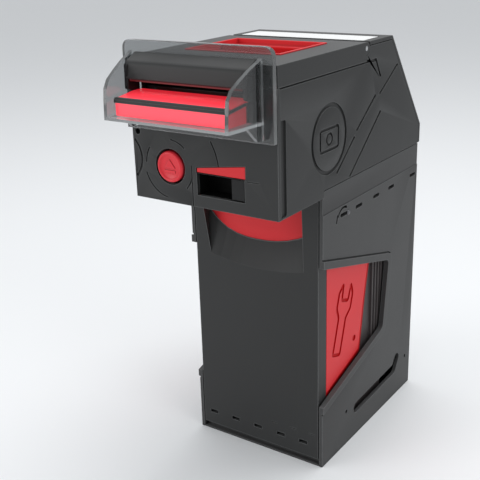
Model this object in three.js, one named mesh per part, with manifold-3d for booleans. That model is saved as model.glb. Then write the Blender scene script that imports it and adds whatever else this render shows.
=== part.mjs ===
// A bill validator: a head that reads notes, on a chassis that holds a removable, lockable cashbox.
// Millimetres. X is across, -Y is the side the note goes in, Z is up.
// The origin is the middle of the chassis, on its underside.
import * as THREE from "three";
import { mergeVertices } from "three/addons/utils/BufferGeometryUtils.js";
import Module from "manifold-3d";

const wasm = await Module();
wasm.setup();

// ---------------------------------------------------------------- driving dimensions
const WIDTH = 104; // over the head's covers
const DEPTH = 141; // chassis, front to back
const BOX_HEIGHT = 192.5; // floor to the underside of the head
const HEAD_HEIGHT = 86.5; // underside of the head to the top of the lid
const HEAD_REACH = 52; // how far the head stands out in front of the chassis
const WALL = 2.5; // moulded walls and plates
const GAP = 0.3; // between pieces that touch
const RIM = 1; // how far the rim stands proud of a chassis side
const SEAM_RISE = 4.5; // top of the chassis sides above the head's underside
const SLOPE_RUN = 51; // how far the head's sloped back leans forward
const BACK_RISE = 14; // upright part of the head's back, below the slope
const SKIRT = 12; // height of the lid's sides
const LID_BACK = 108.5; // length of the lid, from the head's front face
const HINGE_R = 4; // barrel at the lid's back edge
const PIN_R = 1.5; // hinge pin
const NOTE_DROP = 16; // note path below the top of the lid
const NOTE_SPACE = 2.6; // between the two note guides
const GUIDE_MARGIN = 8; // each side of the note guides, inside the covers: brackets, gear and belt
const GUIDE_THICK = 2.2;
const STACKER_DEPTH = 41; // behind the cashbox
const CASHBOX_SIDE_GAP = 0.8; // between the cashbox and the chassis sides
const CASHBOX_LIFT = 5.5; // underside above the floor
const CASHBOX_HEADROOM = 3.5; // below the head
const FRONT_THICK = 20; // depth of the cashbox front moulding
const DRIVE_R = 8; // drive rollers
const PINCH_R = 5; // pinch rollers
const SHAFT_R = 3;
const BUTTON_R = 9.6;

// ---------------------------------------------------------------- places that follow from them
const SIDE = WIDTH / 2;
const FRONT = -DEPTH / 2;
const BACK = DEPTH / 2;
const HEAD_FRONT = FRONT - HEAD_REACH;
const HEAD_TOP = BOX_HEIGHT + HEAD_HEIGHT;
const SEAM = BOX_HEIGHT + SEAM_RISE;
const PLATE_OUT = SIDE - RIM; // outer face of a chassis side
const BAY_HALF = PLATE_OUT - WALL; // inner face of a chassis side
const COVER_IN = SIDE - WALL; // inner face of a head cover
const GUIDE_HALF = COVER_IN - GUIDE_MARGIN; // half the width of the note guides
const INSIDE = WALL + GAP; // outline to the next piece inside it
const HINGE_Y = HEAD_FRONT + LID_BACK - HINGE_R;
const HINGE_Z = HEAD_TOP - HINGE_R;
const LID_LINE = HEAD_TOP - SKIRT;
const NOTE_Z = HEAD_TOP - NOTE_DROP;
const GUIDE_LOW = NOTE_Z - NOTE_SPACE / 2; // top face of the lower guide
const GUIDE_HIGH = NOTE_Z + NOTE_SPACE / 2; // bottom face of the upper guide
const SLOPE_TOP_Y = BACK - SLOPE_RUN;
const SLOPE_FOOT_Z = SEAM + BACK_RISE;
const BEZEL_LOW = NOTE_Z - 26;
const BOX_HALF = BAY_HALF - CASHBOX_SIDE_GAP;
const BEND_Y = FRONT + 82; // centre of the bend that turns the note down
const BEND_R = 23;
const BEND_Z = NOTE_Z - BEND_R;
const BOX_TOP = BOX_HEIGHT - CASHBOX_HEADROOM;
const BOX_BACK = BACK - STACKER_DEPTH;

// ---------------------------------------------------------------- finishes
const finish = (color, roughness, metalness = 0) => ({ color, roughness, metalness });
const CASING = finish(0x363737, 0.55);
const CHASSIS = finish(0x484848, 0.6);
const DARK = finish(0x1c1c1d, 0.6);
const RED = finish(0xc43a3e, 0.45);
const CLEAR = { color: 0xbfc7c9, roughness: 0.1, metalness: 0, transparent: true, opacity: 0.3 };
const STEEL = finish(0x9a9c9f, 0.35, 1);
const RUBBER = finish(0x222222, 0.9);
const BOARD = finish(0x1e5a34, 0.6);
const LABEL = finish(0xf4f4f2, 0.4);
const ACETAL = finish(0xe4e2da, 0.5);

// ---------------------------------------------------------------- solids and how they are joined
function solid(geometry) {
  const bare = geometry.clone();
  bare.deleteAttribute("normal");
  bare.deleteAttribute("uv");
  const whole = mergeVertices(bare, 1e-4);
  const vertProperties = new Float32Array(whole.attributes.position.array);
  const triVerts = new Uint32Array(whole.index.array);
  return new wasm.Manifold(new wasm.Mesh({ numProp: 3, vertProperties, triVerts }));
}

function block(x0, x1, y0, y1, z0, z1) {
  const box = new THREE.BoxGeometry(x1 - x0, y1 - y0, z1 - z0);
  return solid(box.translate((x0 + x1) / 2, (y0 + y1) / 2, (z0 + z1) / 2));
}

// How a flat outline (u, v) and its thickness lie along each axis: across X it reads (Y, Z),
// across Y it reads (X, Z) and across Z it reads (X, Y).
const LAY = {
  x: new THREE.Matrix4().makeBasis(
    new THREE.Vector3(0, 1, 0), new THREE.Vector3(0, 0, 1), new THREE.Vector3(1, 0, 0)),
  y: new THREE.Matrix4().makeBasis(
    new THREE.Vector3(1, 0, 0), new THREE.Vector3(0, 0, 1), new THREE.Vector3(0, -1, 0)),
  z: new THREE.Matrix4(),
};

function slab(axis, outline, from, to, curveSegments = 5) {
  const shape = outline instanceof THREE.Shape ? outline : rounded(outline, 0);
  const depth = to - from;
  const made = new THREE.ExtrudeGeometry(shape, { depth, bevelEnabled: false, curveSegments });
  made.translate(0, 0, axis === "y" ? -to : from);
  return solid(made.applyMatrix4(LAY[axis]));
}

// A closed outline with rounded corners; a point may carry its own radius as a third number.
function rounded(points, radius) {
  const shape = new THREE.Shape();
  points.forEach((point, i) => {
    const here = new THREE.Vector2(point[0], point[1]);
    const before = new THREE.Vector2(...points.at(i - 1).slice(0, 2)).sub(here);
    const after = new THREE.Vector2(...points[(i + 1) % points.length].slice(0, 2)).sub(here);
    const r = Math.min(point[2] ?? radius, before.length() / 2, after.length() / 2);
    const start = before.setLength(r).add(here);
    const end = after.setLength(r).add(here);
    if (i === 0) shape.moveTo(start.x, start.y);
    else shape.lineTo(start.x, start.y);
    if (r > 0) shape.quadraticCurveTo(here.x, here.y, end.x, end.y);
  });
  return shape;
}

function rod(axis, u, v, radius, from, to, sides = 24) {
  const round = new THREE.Shape().absarc(u, v, radius, 0, 2 * Math.PI);
  return slab(axis, round, from, to, sides / 2);
}

// A slot with round ends between two points.
function slot(axis, [u0, v0], [u1, v1], radius, from, to) {
  const turn = Math.atan2(v1 - v0, u1 - u0);
  const shape = new THREE.Shape();
  shape.absarc(u1, v1, radius, turn - Math.PI / 2, turn + Math.PI / 2);
  shape.absarc(u0, v0, radius, turn + Math.PI / 2, turn + Math.PI * 1.5);
  return slab(axis, shape, from, to, 4);
}

const join = (first, ...rest) => rest.reduce((all, one) => all.add(one), first);
const cut = (first, ...rest) => rest.reduce((all, one) => all.subtract(one), first);

// Each corner of a line moved sideways by the same distance (to the right of its direction),
// mitred at the corners; an open line keeps its ends square.
function offset(points, distance, closed = false) {
  const count = points.length;
  const side = (a, b) => {
    const length = Math.hypot(b[0] - a[0], b[1] - a[1]);
    return [(b[1] - a[1]) / length, (a[0] - b[0]) / length];
  };
  return points.map((point, i) => {
    const before = closed || i > 0 ? points.at(i - 1) : null;
    const after = closed || i < count - 1 ? points[(i + 1) % count] : null;
    const a = before ? side(before, point) : side(point, after);
    const b = after ? side(point, after) : a;
    const stretch = distance / (1 + a[0] * b[0] + a[1] * b[1]);
    return [point[0] + (a[0] + b[0]) * stretch, point[1] + (a[1] + b[1]) * stretch];
  });
}

// A sheet of even thickness along a line.
const ribbon = (points, thickness) => [...points, ...offset(points, thickness).reverse()];

function arc(u, v, radius, from, to, steps = 8) {
  return Array.from({ length: steps + 1 }, (_, i) => {
    const turn = THREE.MathUtils.degToRad(from + ((to - from) * i) / steps);
    return [u + radius * Math.cos(turn), v + radius * Math.sin(turn)];
  });
}

// The space between two outlines of equal count, drawn in (X, Z) at two depths.
function loft(outlineA, yA, outlineB, yB) {
  const count = outlineA.length;
  const points = [...outlineA.map(([x, z]) => [x, yA, z]), ...outlineB.map(([x, z]) => [x, yB, z])];
  const faces = [];
  for (let i = 0; i < count; i++) {
    const j = (i + 1) % count;
    faces.push([i, j, count + j], [i, count + j, count + i]);
  }
  const flat = (outline) =>
    THREE.ShapeUtils.triangulateShape(outline.map(([x, z]) => new THREE.Vector2(x, z)), []);
  flat(outlineA).forEach(([a, b, c]) => faces.push([a, c, b]));
  flat(outlineB).forEach(([a, b, c]) => faces.push([count + a, count + b, count + c]));
  const geometry = new THREE.BufferGeometry();
  geometry.setAttribute("position", new THREE.Float32BufferAttribute(points.flat(), 3));
  geometry.setIndex(faces.flat());
  const made = solid(geometry);
  if (made.volume() > 0) return made;
  geometry.setIndex(faces.map(([a, b, c]) => [a, c, b]).flat());
  return solid(geometry);
}

function piece(name, shape, look) {
  const cutMesh = shape.getMesh();
  const geometry = new THREE.BufferGeometry();
  geometry.setAttribute("position", new THREE.BufferAttribute(cutMesh.vertProperties, 3));
  geometry.setIndex(new THREE.BufferAttribute(cutMesh.triVerts, 1));
  geometry.computeVertexNormals();
  const made = new THREE.Mesh(geometry, new THREE.MeshStandardMaterial(look));
  made.name = name;
  return made;
}

function group(...members) {
  const made = new THREE.Group();
  made.add(...members);
  return made;
}

const SIDES = [["left", -1], ["right", 1]];
const span = (sign, inner, outer) => (sign < 0 ? [-outer, -inner] : [inner, outer]);

// ---------------------------------------------------------------- chassis
const CUT_LOW = 46.4; // the side cut-out's height at the front edge, low and high
const CUT_HIGH = BOX_HEIGHT - 46.9;
const CUT_DEEP = 95; // its far corner from the front edge
const CUT_MID = 88; // and its lower corner
const CUT_RISE = 22.8; // how far its lower edge rises on the way back
const CUT_FALL = 25.2; // and its upper edge falls
const RIM_WIDTH = 5;
const RAIL_WIDTH = 4.2;
const BASE_THICK = 3;
const BASE_LIP = 1.2; // the base's thin front edge, below the gap under the cashbox
const BASE_LIP_DEEP = 3.5;
const STACKER_SCREW_Z = 100;
const STACKER_FRAME_Y = BOX_BACK + 19;

function cutOutline() {
  const past = FRONT - 10;
  const slopeLow = CUT_RISE / CUT_MID;
  const slopeHigh = CUT_FALL / CUT_DEEP;
  return [
    [past, CUT_LOW - 10 * slopeLow],
    [FRONT + CUT_MID, CUT_LOW + CUT_MID * slopeLow, 4],
    [FRONT + CUT_DEEP, CUT_HIGH - CUT_DEEP * slopeHigh, 4],
    [past, CUT_HIGH + 10 * slopeHigh],
  ];
}

function chassisSide(name, sign) {
  const outline = [[FRONT, 0], [BACK, 0], [BACK, SEAM], [FRONT, SEAM, 7]];
  const opening = cutOutline();
  const around = offset(opening, RIM_WIDTH, true).map(([y, z], i) => [y, z, opening[i][2]]);
  const [x0, x1] = span(sign, BAY_HALF, PLATE_OUT);
  const [r0, r1] = span(sign, PLATE_OUT - 0.01, SIDE);
  const [c0, c1] = span(sign, BAY_HALF - 1, SIDE + 1);
  const inFront = block(c0, c1, FRONT - 60, FRONT, 0, SEAM);
  const slotRow = [27, 48, 73.5, 97, 133].map((y) =>
    slot("x", [FRONT + y - 3.5, SEAM - 22.8], [FRONT + y + 3.5, SEAM - 22.8], 1.3, c0, c1));
  const holes = [34.5, 132.3].map((y) => rod("x", FRONT + y, 26, 1.6, c0, c1, 12));
  return piece(name, cut(
    join(slab("x", rounded(outline, 0), x0, x1), slab("x", rounded(around, 0), r0, r1)),
    slab("x", rounded(opening, 0), c0, c1),
    inFront,
    slot("x", [FRONT + 50, 22], [FRONT + 112, 24], 4.3, c0, c1),
    slot("x", [FRONT + 112, 24], [FRONT + 116.5, 31], 4.3, c0, c1),
    ...slotRow,
    ...holes,
  ), CHASSIS);
}

function chassis() {
  const half = BAY_HALF - GAP;
  const backInner = BACK - WALL;
  const vents = [60, 76, 92].map((z) =>
    slot("y", [-half + 18, z], [half - 18, z], 2, backInner - 1, BACK + 1));
  const base = cut(
    block(-half, half, FRONT, backInner - GAP, 0, BASE_THICK),
    block(-half - 1, half + 1, FRONT - 1, FRONT + BASE_LIP_DEEP, BASE_LIP, BASE_THICK + 1),
  );
  const frame = cut(
    block(-half, half, STACKER_FRAME_Y, STACKER_FRAME_Y + WALL, BASE_THICK + GAP, BOX_TOP),
    rod("y", 0, STACKER_SCREW_Z, SHAFT_R + GAP, STACKER_FRAME_Y - 1, STACKER_FRAME_Y + WALL + 1),
  );
  const motorFront = STACKER_FRAME_Y + WALL + GAP;
  const rails = SIDES.map(([side, sign]) => {
    const [x0, x1] = span(sign, half - RAIL_WIDTH, half);
    return piece(side + "_rail",
      block(x0, x1, FRONT + 4, STACKER_FRAME_Y - GAP, BASE_THICK + GAP, CASHBOX_LIFT - GAP), STEEL);
  });
  return group(
    piece("chassis_base", base, CHASSIS),
    ...SIDES.map(([side, sign]) => chassisSide("chassis_" + side + "_side", sign)),
    piece("chassis_back", cut(block(-half, half, backInner, BACK, 0, SEAM), ...vents), CHASSIS),
    ...rails,
    piece("stacker_frame", frame, DARK),
    piece("stacker_motor",
      rod("y", 0, STACKER_SCREW_Z, 17, motorFront, backInner - GAP, 28), STEEL),
  );
}

// ---------------------------------------------------------------- stacker
const STACKER_PLATE_Y = BOX_BACK + 5;
const STACKER_HALF = 30;
const STACKER_LOW = 45;
const STACKER_HIGH = 155;

function stackerPlate() {
  const y0 = STACKER_PLATE_Y;
  const y1 = y0 + WALL;
  const bossEnd = STACKER_FRAME_Y - 0.5;
  const outline = [[-STACKER_HALF, STACKER_LOW], [STACKER_HALF, STACKER_LOW],
    [STACKER_HALF, STACKER_HIGH], [-STACKER_HALF, STACKER_HIGH]];
  const plate = slab("y", rounded(outline, 5), y0, y1);
  const boss = rod("y", 0, STACKER_SCREW_Z, SHAFT_R + 4, y0 + 1, bossEnd);
  const bore = rod("y", 0, STACKER_SCREW_Z, SHAFT_R + GAP, y0 - 1, bossEnd + 1);
  return piece("stacker_plate", cut(join(plate, boss), bore), DARK);
}

function stackerScrew() {
  const from = STACKER_PLATE_Y + 1;
  return piece("stacker_screw",
    rod("y", 0, STACKER_SCREW_Z, SHAFT_R, from, STACKER_FRAME_Y + WALL, 20), STEEL);
}

// ---------------------------------------------------------------- cashbox
const SKIN = 3; // the front moulding's face
const RETURN = 10.5; // its sides, which run back to the red side panels
const PANEL_THICK = 2.4; // red side panels
const SHELL_HALF = BOX_HALF - PANEL_THICK - GAP;
const SCOOP_LEFT = -43;
const SCOOP_RIGHT = 34.5;
const SCOOP_DEEP = 9; // from the face back to the scoop's lip
const HANDLE_TOP = BOX_TOP - 2.5;
const HANDLE_THICK = 2.4;
const HANDLE_PIN_Y = FRONT + SCOOP_DEEP + 4.5;
const HANDLE_PIN_Z = HANDLE_TOP - 3;
const PLATE_REST_Y = BOX_BACK - 8; // the pressure plate at rest, just inside the window
const WINDOW_ROOM = 6; // round the stacker plate, each side

// The scoop's edge at the face and its lip at the back, both open at the top.
function scoopLip() {
  const low = BOX_TOP - 34.8;
  const middle = (SCOOP_LEFT + SCOOP_RIGHT) / 2;
  const half = (SCOOP_RIGHT - SCOOP_LEFT) / 2;
  const bowl = Array.from({ length: 11 }, (_, i) => {
    const t = -1 + i / 5;
    const left = t < 0 ? 17 * Math.abs(t) ** 2.6 : 9 * t ** 2.2;
    return [middle + half * t, low + left];
  });
  return [...bowl, [SCOOP_RIGHT, BOX_TOP + 5], [SCOOP_LEFT, BOX_TOP + 5]];
}

function scoopEdge() {
  const low = BOX_TOP - 54.3;
  const from = SCOOP_LEFT + 8;
  const to = SCOOP_RIGHT + 2.5;
  const bowl = Array.from({ length: 11 }, (_, i) => {
    const t = -1 + i / 5;
    return [(from + to) / 2 + ((to - from) / 2) * t, low + 3.4 * t ** 2];
  });
  return [...bowl, [SCOOP_RIGHT + 1, BOX_TOP + 5], [SCOOP_LEFT - 1, BOX_TOP + 5]];
}

function cashboxFront() {
  const y1 = FRONT + FRONT_THICK;
  const lowPocket = block(-SHELL_HALF + WALL, SHELL_HALF - WALL, FRONT + SKIN, y1 + 1,
    CASHBOX_LIFT + SKIN, BOX_TOP - 61);
  const handleBay = block(SCOOP_LEFT - GAP, SCOOP_RIGHT + GAP, FRONT + SCOOP_DEEP, y1 + 1,
    BOX_TOP - 38, HANDLE_TOP + GAP);
  const slots = [-39, -20, -1, 18, 36].map((x) =>
    block(x - 3.3, x + 3.3, FRONT - 1, FRONT + SKIN + 1, 14.2, 16.8));
  const pinHoles = rod("x", HANDLE_PIN_Y, HANDLE_PIN_Z, PIN_R + GAP,
    SCOOP_LEFT - 1.2 - GAP, SCOOP_RIGHT + 1.2 + GAP, 16);
  return piece("cashbox_front", cut(
    join(
      block(-BOX_HALF, BOX_HALF, FRONT, FRONT + RETURN, CASHBOX_LIFT, BOX_TOP),
      block(-SHELL_HALF, SHELL_HALF, FRONT, y1, CASHBOX_LIFT, BOX_TOP),
    ),
    lowPocket,
    handleBay,
    loft(scoopEdge(), FRONT - 1, scoopLip(), FRONT + SCOOP_DEEP + 0.5),
    ...slots,
    pinHoles,
  ), CASING);
}

// A flap that hangs from a pin at its top and swings inwards.
function cashboxHandle() {
  const y0 = FRONT + SCOOP_DEEP + 1;
  const x0 = SCOOP_LEFT + GAP;
  const x1 = SCOOP_RIGHT - GAP;
  const flap = block(x0, x1, y0, y0 + HANDLE_THICK, BOX_TOP - 36.5, HANDLE_TOP);
  const pin = rod("x", HANDLE_PIN_Y, HANDLE_PIN_Z, PIN_R, SCOOP_LEFT - 1.2, SCOOP_RIGHT + 1.2, 16);
  return piece("cashbox_handle", join(flap, pin), RED);
}

function cashboxShell() {
  const y0 = FRONT + FRONT_THICK + GAP;
  const low = CASHBOX_LIFT + WALL;
  const outer = block(-SHELL_HALF, SHELL_HALF, y0, BOX_BACK, CASHBOX_LIFT, BOX_TOP);
  const inner = block(-SHELL_HALF + WALL, SHELL_HALF - WALL, y0 + WALL, BOX_BACK - WALL,
    low, BOX_TOP - WALL);
  const window = block(-STACKER_HALF - WINDOW_ROOM, STACKER_HALF + WINDOW_ROOM,
    BOX_BACK - WALL - 1, BOX_BACK + 1, STACKER_LOW - 15, STACKER_HIGH + 15);
  return piece("cashbox_shell", cut(outer, inner, window), DARK);
}

function sidePanel(name, sign) {
  const [x0, x1] = span(sign, BOX_HALF - PANEL_THICK, BOX_HALF);
  const y0 = FRONT + RETURN + GAP;
  const outline = [
    [y0, CUT_LOW - 1, 1], [BOX_BACK - 38, CUT_LOW + 14, 3], [BOX_BACK - 31, CUT_LOW + 53, 3],
    [BOX_BACK - 24.8, CUT_HIGH - 18.5, 3], [y0, CUT_HIGH + 2, 1],
  ];
  return piece(name, slab("x", rounded(outline, 0), x0, x1), RED);
}

function pressurePlate() {
  const half = SHELL_HALF - WALL - 2;
  const low = CASHBOX_LIFT + WALL + 6;
  const high = BOX_TOP - WALL - 6;
  return piece("note_pressure_plate",
    block(-half, half, PLATE_REST_Y, PLATE_REST_Y + WALL, low, high), ACETAL);
}

// A wire that winds round an axis along Y.
function coil(name, [x, y, z], radius, wire, length, turns) {
  const steps = turns * 12;
  const points = Array.from({ length: steps + 1 }, (_, i) => {
    const turn = (2 * Math.PI * turns * i) / steps;
    return new THREE.Vector3(
      x + radius * Math.cos(turn), y + (length * i) / steps, z + radius * Math.sin(turn));
  });
  const ring = new THREE.Shape().absarc(0, 0, wire, 0, 2 * Math.PI);
  const made = new THREE.ExtrudeGeometry(ring, {
    steps, curveSegments: 3, bevelEnabled: false, extrudePath: new THREE.CatmullRomCurve3(points),
  });
  return piece(name, solid(made), STEEL);
}

function pressureSpring() {
  const clear = 1.5;
  const from = FRONT + FRONT_THICK + GAP + WALL + clear;
  const length = PLATE_REST_Y - clear - from;
  return coil("note_pressure_spring", [0, from, BOX_HEIGHT / 2], 12, 0.9, length, 6);
}

// ---------------------------------------------------------------- head shell
const PORT_LEFT = -4.5;
const PORT_RIGHT = 29.3;
const PORT_LOW = BOX_HEIGHT + 7.5;
const PORT_HIGH = BOX_HEIGHT + 21;
const WEDGE_LOW = PORT_HIGH + 0.4;
const WEDGE = [
  [PORT_LEFT, WEDGE_LOW], [PORT_RIGHT + 0.5, WEDGE_LOW],
  [PORT_RIGHT + 0.5, WEDGE_LOW + 7.4], [PORT_LEFT, WEDGE_LOW + 2.6],
];
const BUTTON_X = -24;
const BUTTON_Z = (BOX_HEIGHT + BEZEL_LOW) / 2;
const BUTTON_GAP = 0.8;
const MOUTH_HALF = GUIDE_HALF + 0.5;
const MOUTH_RISE = 5; // the mouth above and below the note path
const CLIPS = [["left", -29], ["right", 17.4]];
const CLIP_Z = LID_LINE - 29;
const CLIP_W = 5;
const CLIP_H = 2.6;

const headBackLine = () => [
  [BACK, SEAM + GAP], [BACK, SLOPE_FOOT_Z],
  [SLOPE_TOP_Y, HEAD_TOP], [HEAD_FRONT + LID_BACK + 0.5, HEAD_TOP],
];

function headCover(name, sign) {
  const [x0, x1] = span(sign, COVER_IN, SIDE);
  const inner = offset(headBackLine(), -INSIDE);
  const barrel = arc(HINGE_Y, HINGE_Z, HINGE_R + 0.5, 0, -85, 6);
  const outline = [
    [HEAD_FRONT + INSIDE, BOX_HEIGHT], [FRONT - GAP, BOX_HEIGHT], [FRONT - GAP, SEAM + GAP],
    [inner[0][0], SEAM + GAP], inner[1], inner[2], [HINGE_Y + HINGE_R + 0.5, inner[2][1]],
    ...barrel, [barrel.at(-1)[0], LID_LINE - GAP], [HEAD_FRONT + INSIDE, LID_LINE - GAP],
  ];
  return piece(name, slab("x", outline, x0, x1), CASING);
}

function headFascia() {
  const y0 = HEAD_FRONT;
  const y1 = HEAD_FRONT + WALL;
  const through = [y0 - 1, y1 + 1];
  const clipSlots = CLIPS.map(([, x]) =>
    block(x - CLIP_W / 2, x + CLIP_W / 2, ...through, CLIP_Z, CLIP_Z + CLIP_H));
  return piece("head_fascia", cut(
    block(-SIDE, SIDE, y0, y1, BOX_HEIGHT, LID_LINE - GAP),
    block(PORT_LEFT, PORT_RIGHT, ...through, PORT_LOW, PORT_HIGH),
    slab("y", offset(WEDGE, GAP, true), ...through),
    rod("y", BUTTON_X, BUTTON_Z, BUTTON_R + BUTTON_GAP, ...through, 40),
    ...clipSlots,
    rod("y", -SIDE + 4, CLIP_Z - 4, 2, ...through, 16),
    block(-MOUTH_HALF, MOUTH_HALF, ...through, NOTE_Z - MOUTH_RISE, HEAD_TOP),
  ), CASING);
}

const LABEL_FROM = 59;
const LABEL_TO = 80;
const LABEL_HALF = 46;
const LABEL_THICK = 0.7;
const BOARD_HALF = GUIDE_HALF - 1.5;
const SOCKET_HALF = 14;
const SOCKET_LOW = SEAM + 2.5;
const SOCKET_HIGH = SEAM + 11.5;

function headBackCover() {
  const line = headBackLine();
  const recess = block(-LABEL_HALF - GAP, LABEL_HALF + GAP, FRONT + LABEL_FROM - GAP,
    FRONT + LABEL_TO + GAP, HEAD_TOP - LABEL_THICK - GAP, HEAD_TOP + 1);
  const port = block(-SOCKET_HALF - GAP, SOCKET_HALF + GAP, BACK - WALL - 1, BACK + 1,
    SOCKET_LOW - GAP, SOCKET_HIGH + GAP);
  const sheet = slab("x", ribbon(line, -WALL), -SIDE, SIDE);
  return piece("head_back_cover", cut(sheet, recess, port), CASING);
}

function headFloor() {
  const wide = COVER_IN - GAP;
  const narrow = BAY_HALF - GAP;
  const front = HEAD_FRONT + INSIDE;
  const step = FRONT - GAP;
  const back = BACK - INSIDE;
  const outline = [
    [-wide, front], [wide, front], [wide, step], [narrow, step],
    [narrow, back], [-narrow, back], [-narrow, step], [-wide, step],
  ];
  const noteY = BEND_Y + BEND_R;
  const noteSlot = block(-MOUTH_HALF, MOUTH_HALF, noteY - 4.5, noteY + 5, BOX_HEIGHT - 1,
    BOX_HEIGHT + WALL + 1);
  return piece("head_floor", cut(slab("z", outline, BOX_HEIGHT, BOX_HEIGHT + WALL), noteSlot), DARK);
}

function portHousing() {
  const y0 = HEAD_FRONT + INSIDE;
  const outer = block(PORT_LEFT - 2, PORT_RIGHT + 2, y0, y0 + 12, PORT_LOW - 2, PORT_HIGH + 2);
  return piece("port_housing",
    cut(outer, block(PORT_LEFT, PORT_RIGHT, y0 - 1, y0 + 10, PORT_LOW, PORT_HIGH)), DARK);
}

function controlBoard() {
  const low = BOX_HEIGHT + WALL + 7;
  const chips = [[-26, 40, 6], [8, 60, 8], [28, 30, 4.5]].map(([x, y, half]) =>
    block(x - half, x + half, FRONT + y - half, FRONT + y + half, low + 1, low + 3.4));
  const board = block(-BOARD_HALF, BOARD_HALF, FRONT + 12, BEND_Y + BEND_R - 9, low, low + 1.6);
  return piece("control_board", join(board, ...chips), BOARD);
}

function head() {
  const faceY = HEAD_FRONT + INSIDE;
  const socket = cut(
    block(-SOCKET_HALF, SOCKET_HALF, BACK - 12, BACK - 0.1, SOCKET_LOW, SOCKET_HIGH),
    block(-SOCKET_HALF + 2, SOCKET_HALF - 2, BACK - 9, BACK + 1, SOCKET_LOW + 2, SOCKET_HIGH - 2),
  );
  const clipHalf = CLIP_W / 2 - GAP;
  const clips = CLIPS.map(([side, x]) => piece("bezel_" + side + "_clip",
    block(x - clipHalf, x + clipHalf, HEAD_FRONT + 0.8, HEAD_FRONT + 8, CLIP_Z + GAP,
      CLIP_Z + CLIP_H - GAP), RED));
  return group(
    headFloor(),
    headCover("head_left_cover", -1),
    headCover("head_right_cover", 1),
    headFascia(),
    headBackCover(),
    piece("blank_label", block(-LABEL_HALF, LABEL_HALF, FRONT + LABEL_FROM, FRONT + LABEL_TO,
      HEAD_TOP - LABEL_THICK, HEAD_TOP), LABEL),
    piece("interface_socket", socket, DARK),
    controlBoard(),
    portHousing(),
    piece("port_block", block(PORT_RIGHT - 9.5, PORT_RIGHT - 0.5, HEAD_FRONT + 0.6, faceY + 9.7,
      PORT_LOW + 0.5, PORT_HIGH - 0.5), CHASSIS),
    piece("port_wedge", slab("y", WEDGE, HEAD_FRONT + 0.3, HEAD_FRONT + WALL), RED),
    ...clips,
  );
}

// ---------------------------------------------------------------- note path
const FRONT_SHAFT_Y = FRONT - 28;
const REAR_SHAFT_Y = FRONT + 30;
const SHAFT_Z = NOTE_Z - GAP - DRIVE_R;
const PINCH_Z = NOTE_Z + GAP + PINCH_R;
const ROLLERS = [["left", -30, -14], ["right", 14, 30]];
const BRACKET_IN = GUIDE_HALF + GAP;
const BRACKET_OUT = BRACKET_IN + 2;

const rollerSlots = (radius, low, high) => [FRONT_SHAFT_Y, REAR_SHAFT_Y].flatMap((y) =>
  ROLLERS.map(([, x0, x1]) => block(x0 - 1, x1 + 1, y - radius, y + radius, low, high)));

function lowerGuide() {
  const r = BEND_R - NOTE_SPACE / 2;
  const line = [
    [HEAD_FRONT + INSIDE + 0.5, GUIDE_LOW], [BEND_Y, GUIDE_LOW],
    ...arc(BEND_Y, BEND_Z, r, 80, 0, 8), [BEND_Y + r, BOX_HEIGHT + WALL + 1],
  ];
  return piece("lower_note_guide", cut(
    slab("x", ribbon(line, GUIDE_THICK), -GUIDE_HALF, GUIDE_HALF),
    ...rollerSlots(DRIVE_R, GUIDE_LOW - GUIDE_THICK - 1, GUIDE_LOW + 1),
  ), DARK);
}

function rearGuide() {
  const r = BEND_R + NOTE_SPACE / 2;
  const line = [
    [HINGE_Y + HINGE_R + 1, GUIDE_HIGH], [BEND_Y, GUIDE_HIGH],
    ...arc(BEND_Y, BEND_Z, r, 80, 0, 8), [BEND_Y + r, BOX_HEIGHT + WALL + 1],
  ];
  const sheet = slab("x", ribbon(line, -GUIDE_THICK), -GUIDE_HALF, GUIDE_HALF);
  return piece("rear_note_guide", sheet, DARK);
}

function shaftBracket(side, sign) {
  const [x0, x1] = span(sign, BRACKET_IN, BRACKET_OUT);
  const holes = [FRONT_SHAFT_Y, REAR_SHAFT_Y].map((y) =>
    rod("x", y, SHAFT_Z, SHAFT_R + GAP, x0 - 1, x1 + 1));
  const motorHole = rod("x", MOTOR_Y, MOTOR_Z, SHAFT_R + GAP, x0 - 1, x1 + 1);
  const low = BOX_HEIGHT + WALL + GAP;
  const high = NOTE_Z - NOTE_SPACE / 2;
  const outline = [
    [FRONT_SHAFT_Y - 8, low], [REAR_SHAFT_Y + 8, low],
    [REAR_SHAFT_Y + 8, high, 5], [FRONT_SHAFT_Y - 8, high, 5],
  ];
  const plate = slab("x", rounded(outline, 0), x0, x1);
  return piece(side + "_shaft_bracket", cut(plate, ...holes, motorHole), STEEL);
}

// ---------------------------------------------------------------- drive
const MODULE = 1.2;
const GEAR_TEETH = 30;
const PINION_TEETH = 10;
const GEAR_X = BRACKET_OUT + 0.6;
const GEAR_END = COVER_IN - 1;
const MOTOR_BEHIND = 14; // the motor's axis behind the front shaft's
const MOTOR_Y = FRONT_SHAFT_Y + MOTOR_BEHIND;
const MESH_DISTANCE = ((GEAR_TEETH + PINION_TEETH) * MODULE) / 2 + 0.2;
const MOTOR_Z = SHAFT_Z - Math.sqrt(MESH_DISTANCE ** 2 - MOTOR_BEHIND ** 2);
const MOTOR_R = 12;
const PULLEY_R = 5.5;

// Teeth as trapezoids with room at the root and between the flanks; turn is where a tooth points.
function gearOutline(u, v, teeth, turn) {
  const pitch = (teeth * MODULE) / 2;
  const root = pitch - 1.25 * MODULE;
  const tip = pitch + 0.8 * MODULE;
  const corners = [[root, -0.28], [tip, -0.1], [tip, 0.1], [root, 0.28]];
  return Array.from({ length: teeth }, (_, i) => corners.map(([radius, share]) => {
    const angle = turn + ((i + share) * 2 * Math.PI) / teeth;
    return [u + radius * Math.cos(angle), v + radius * Math.sin(angle)];
  })).flat();
}

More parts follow.
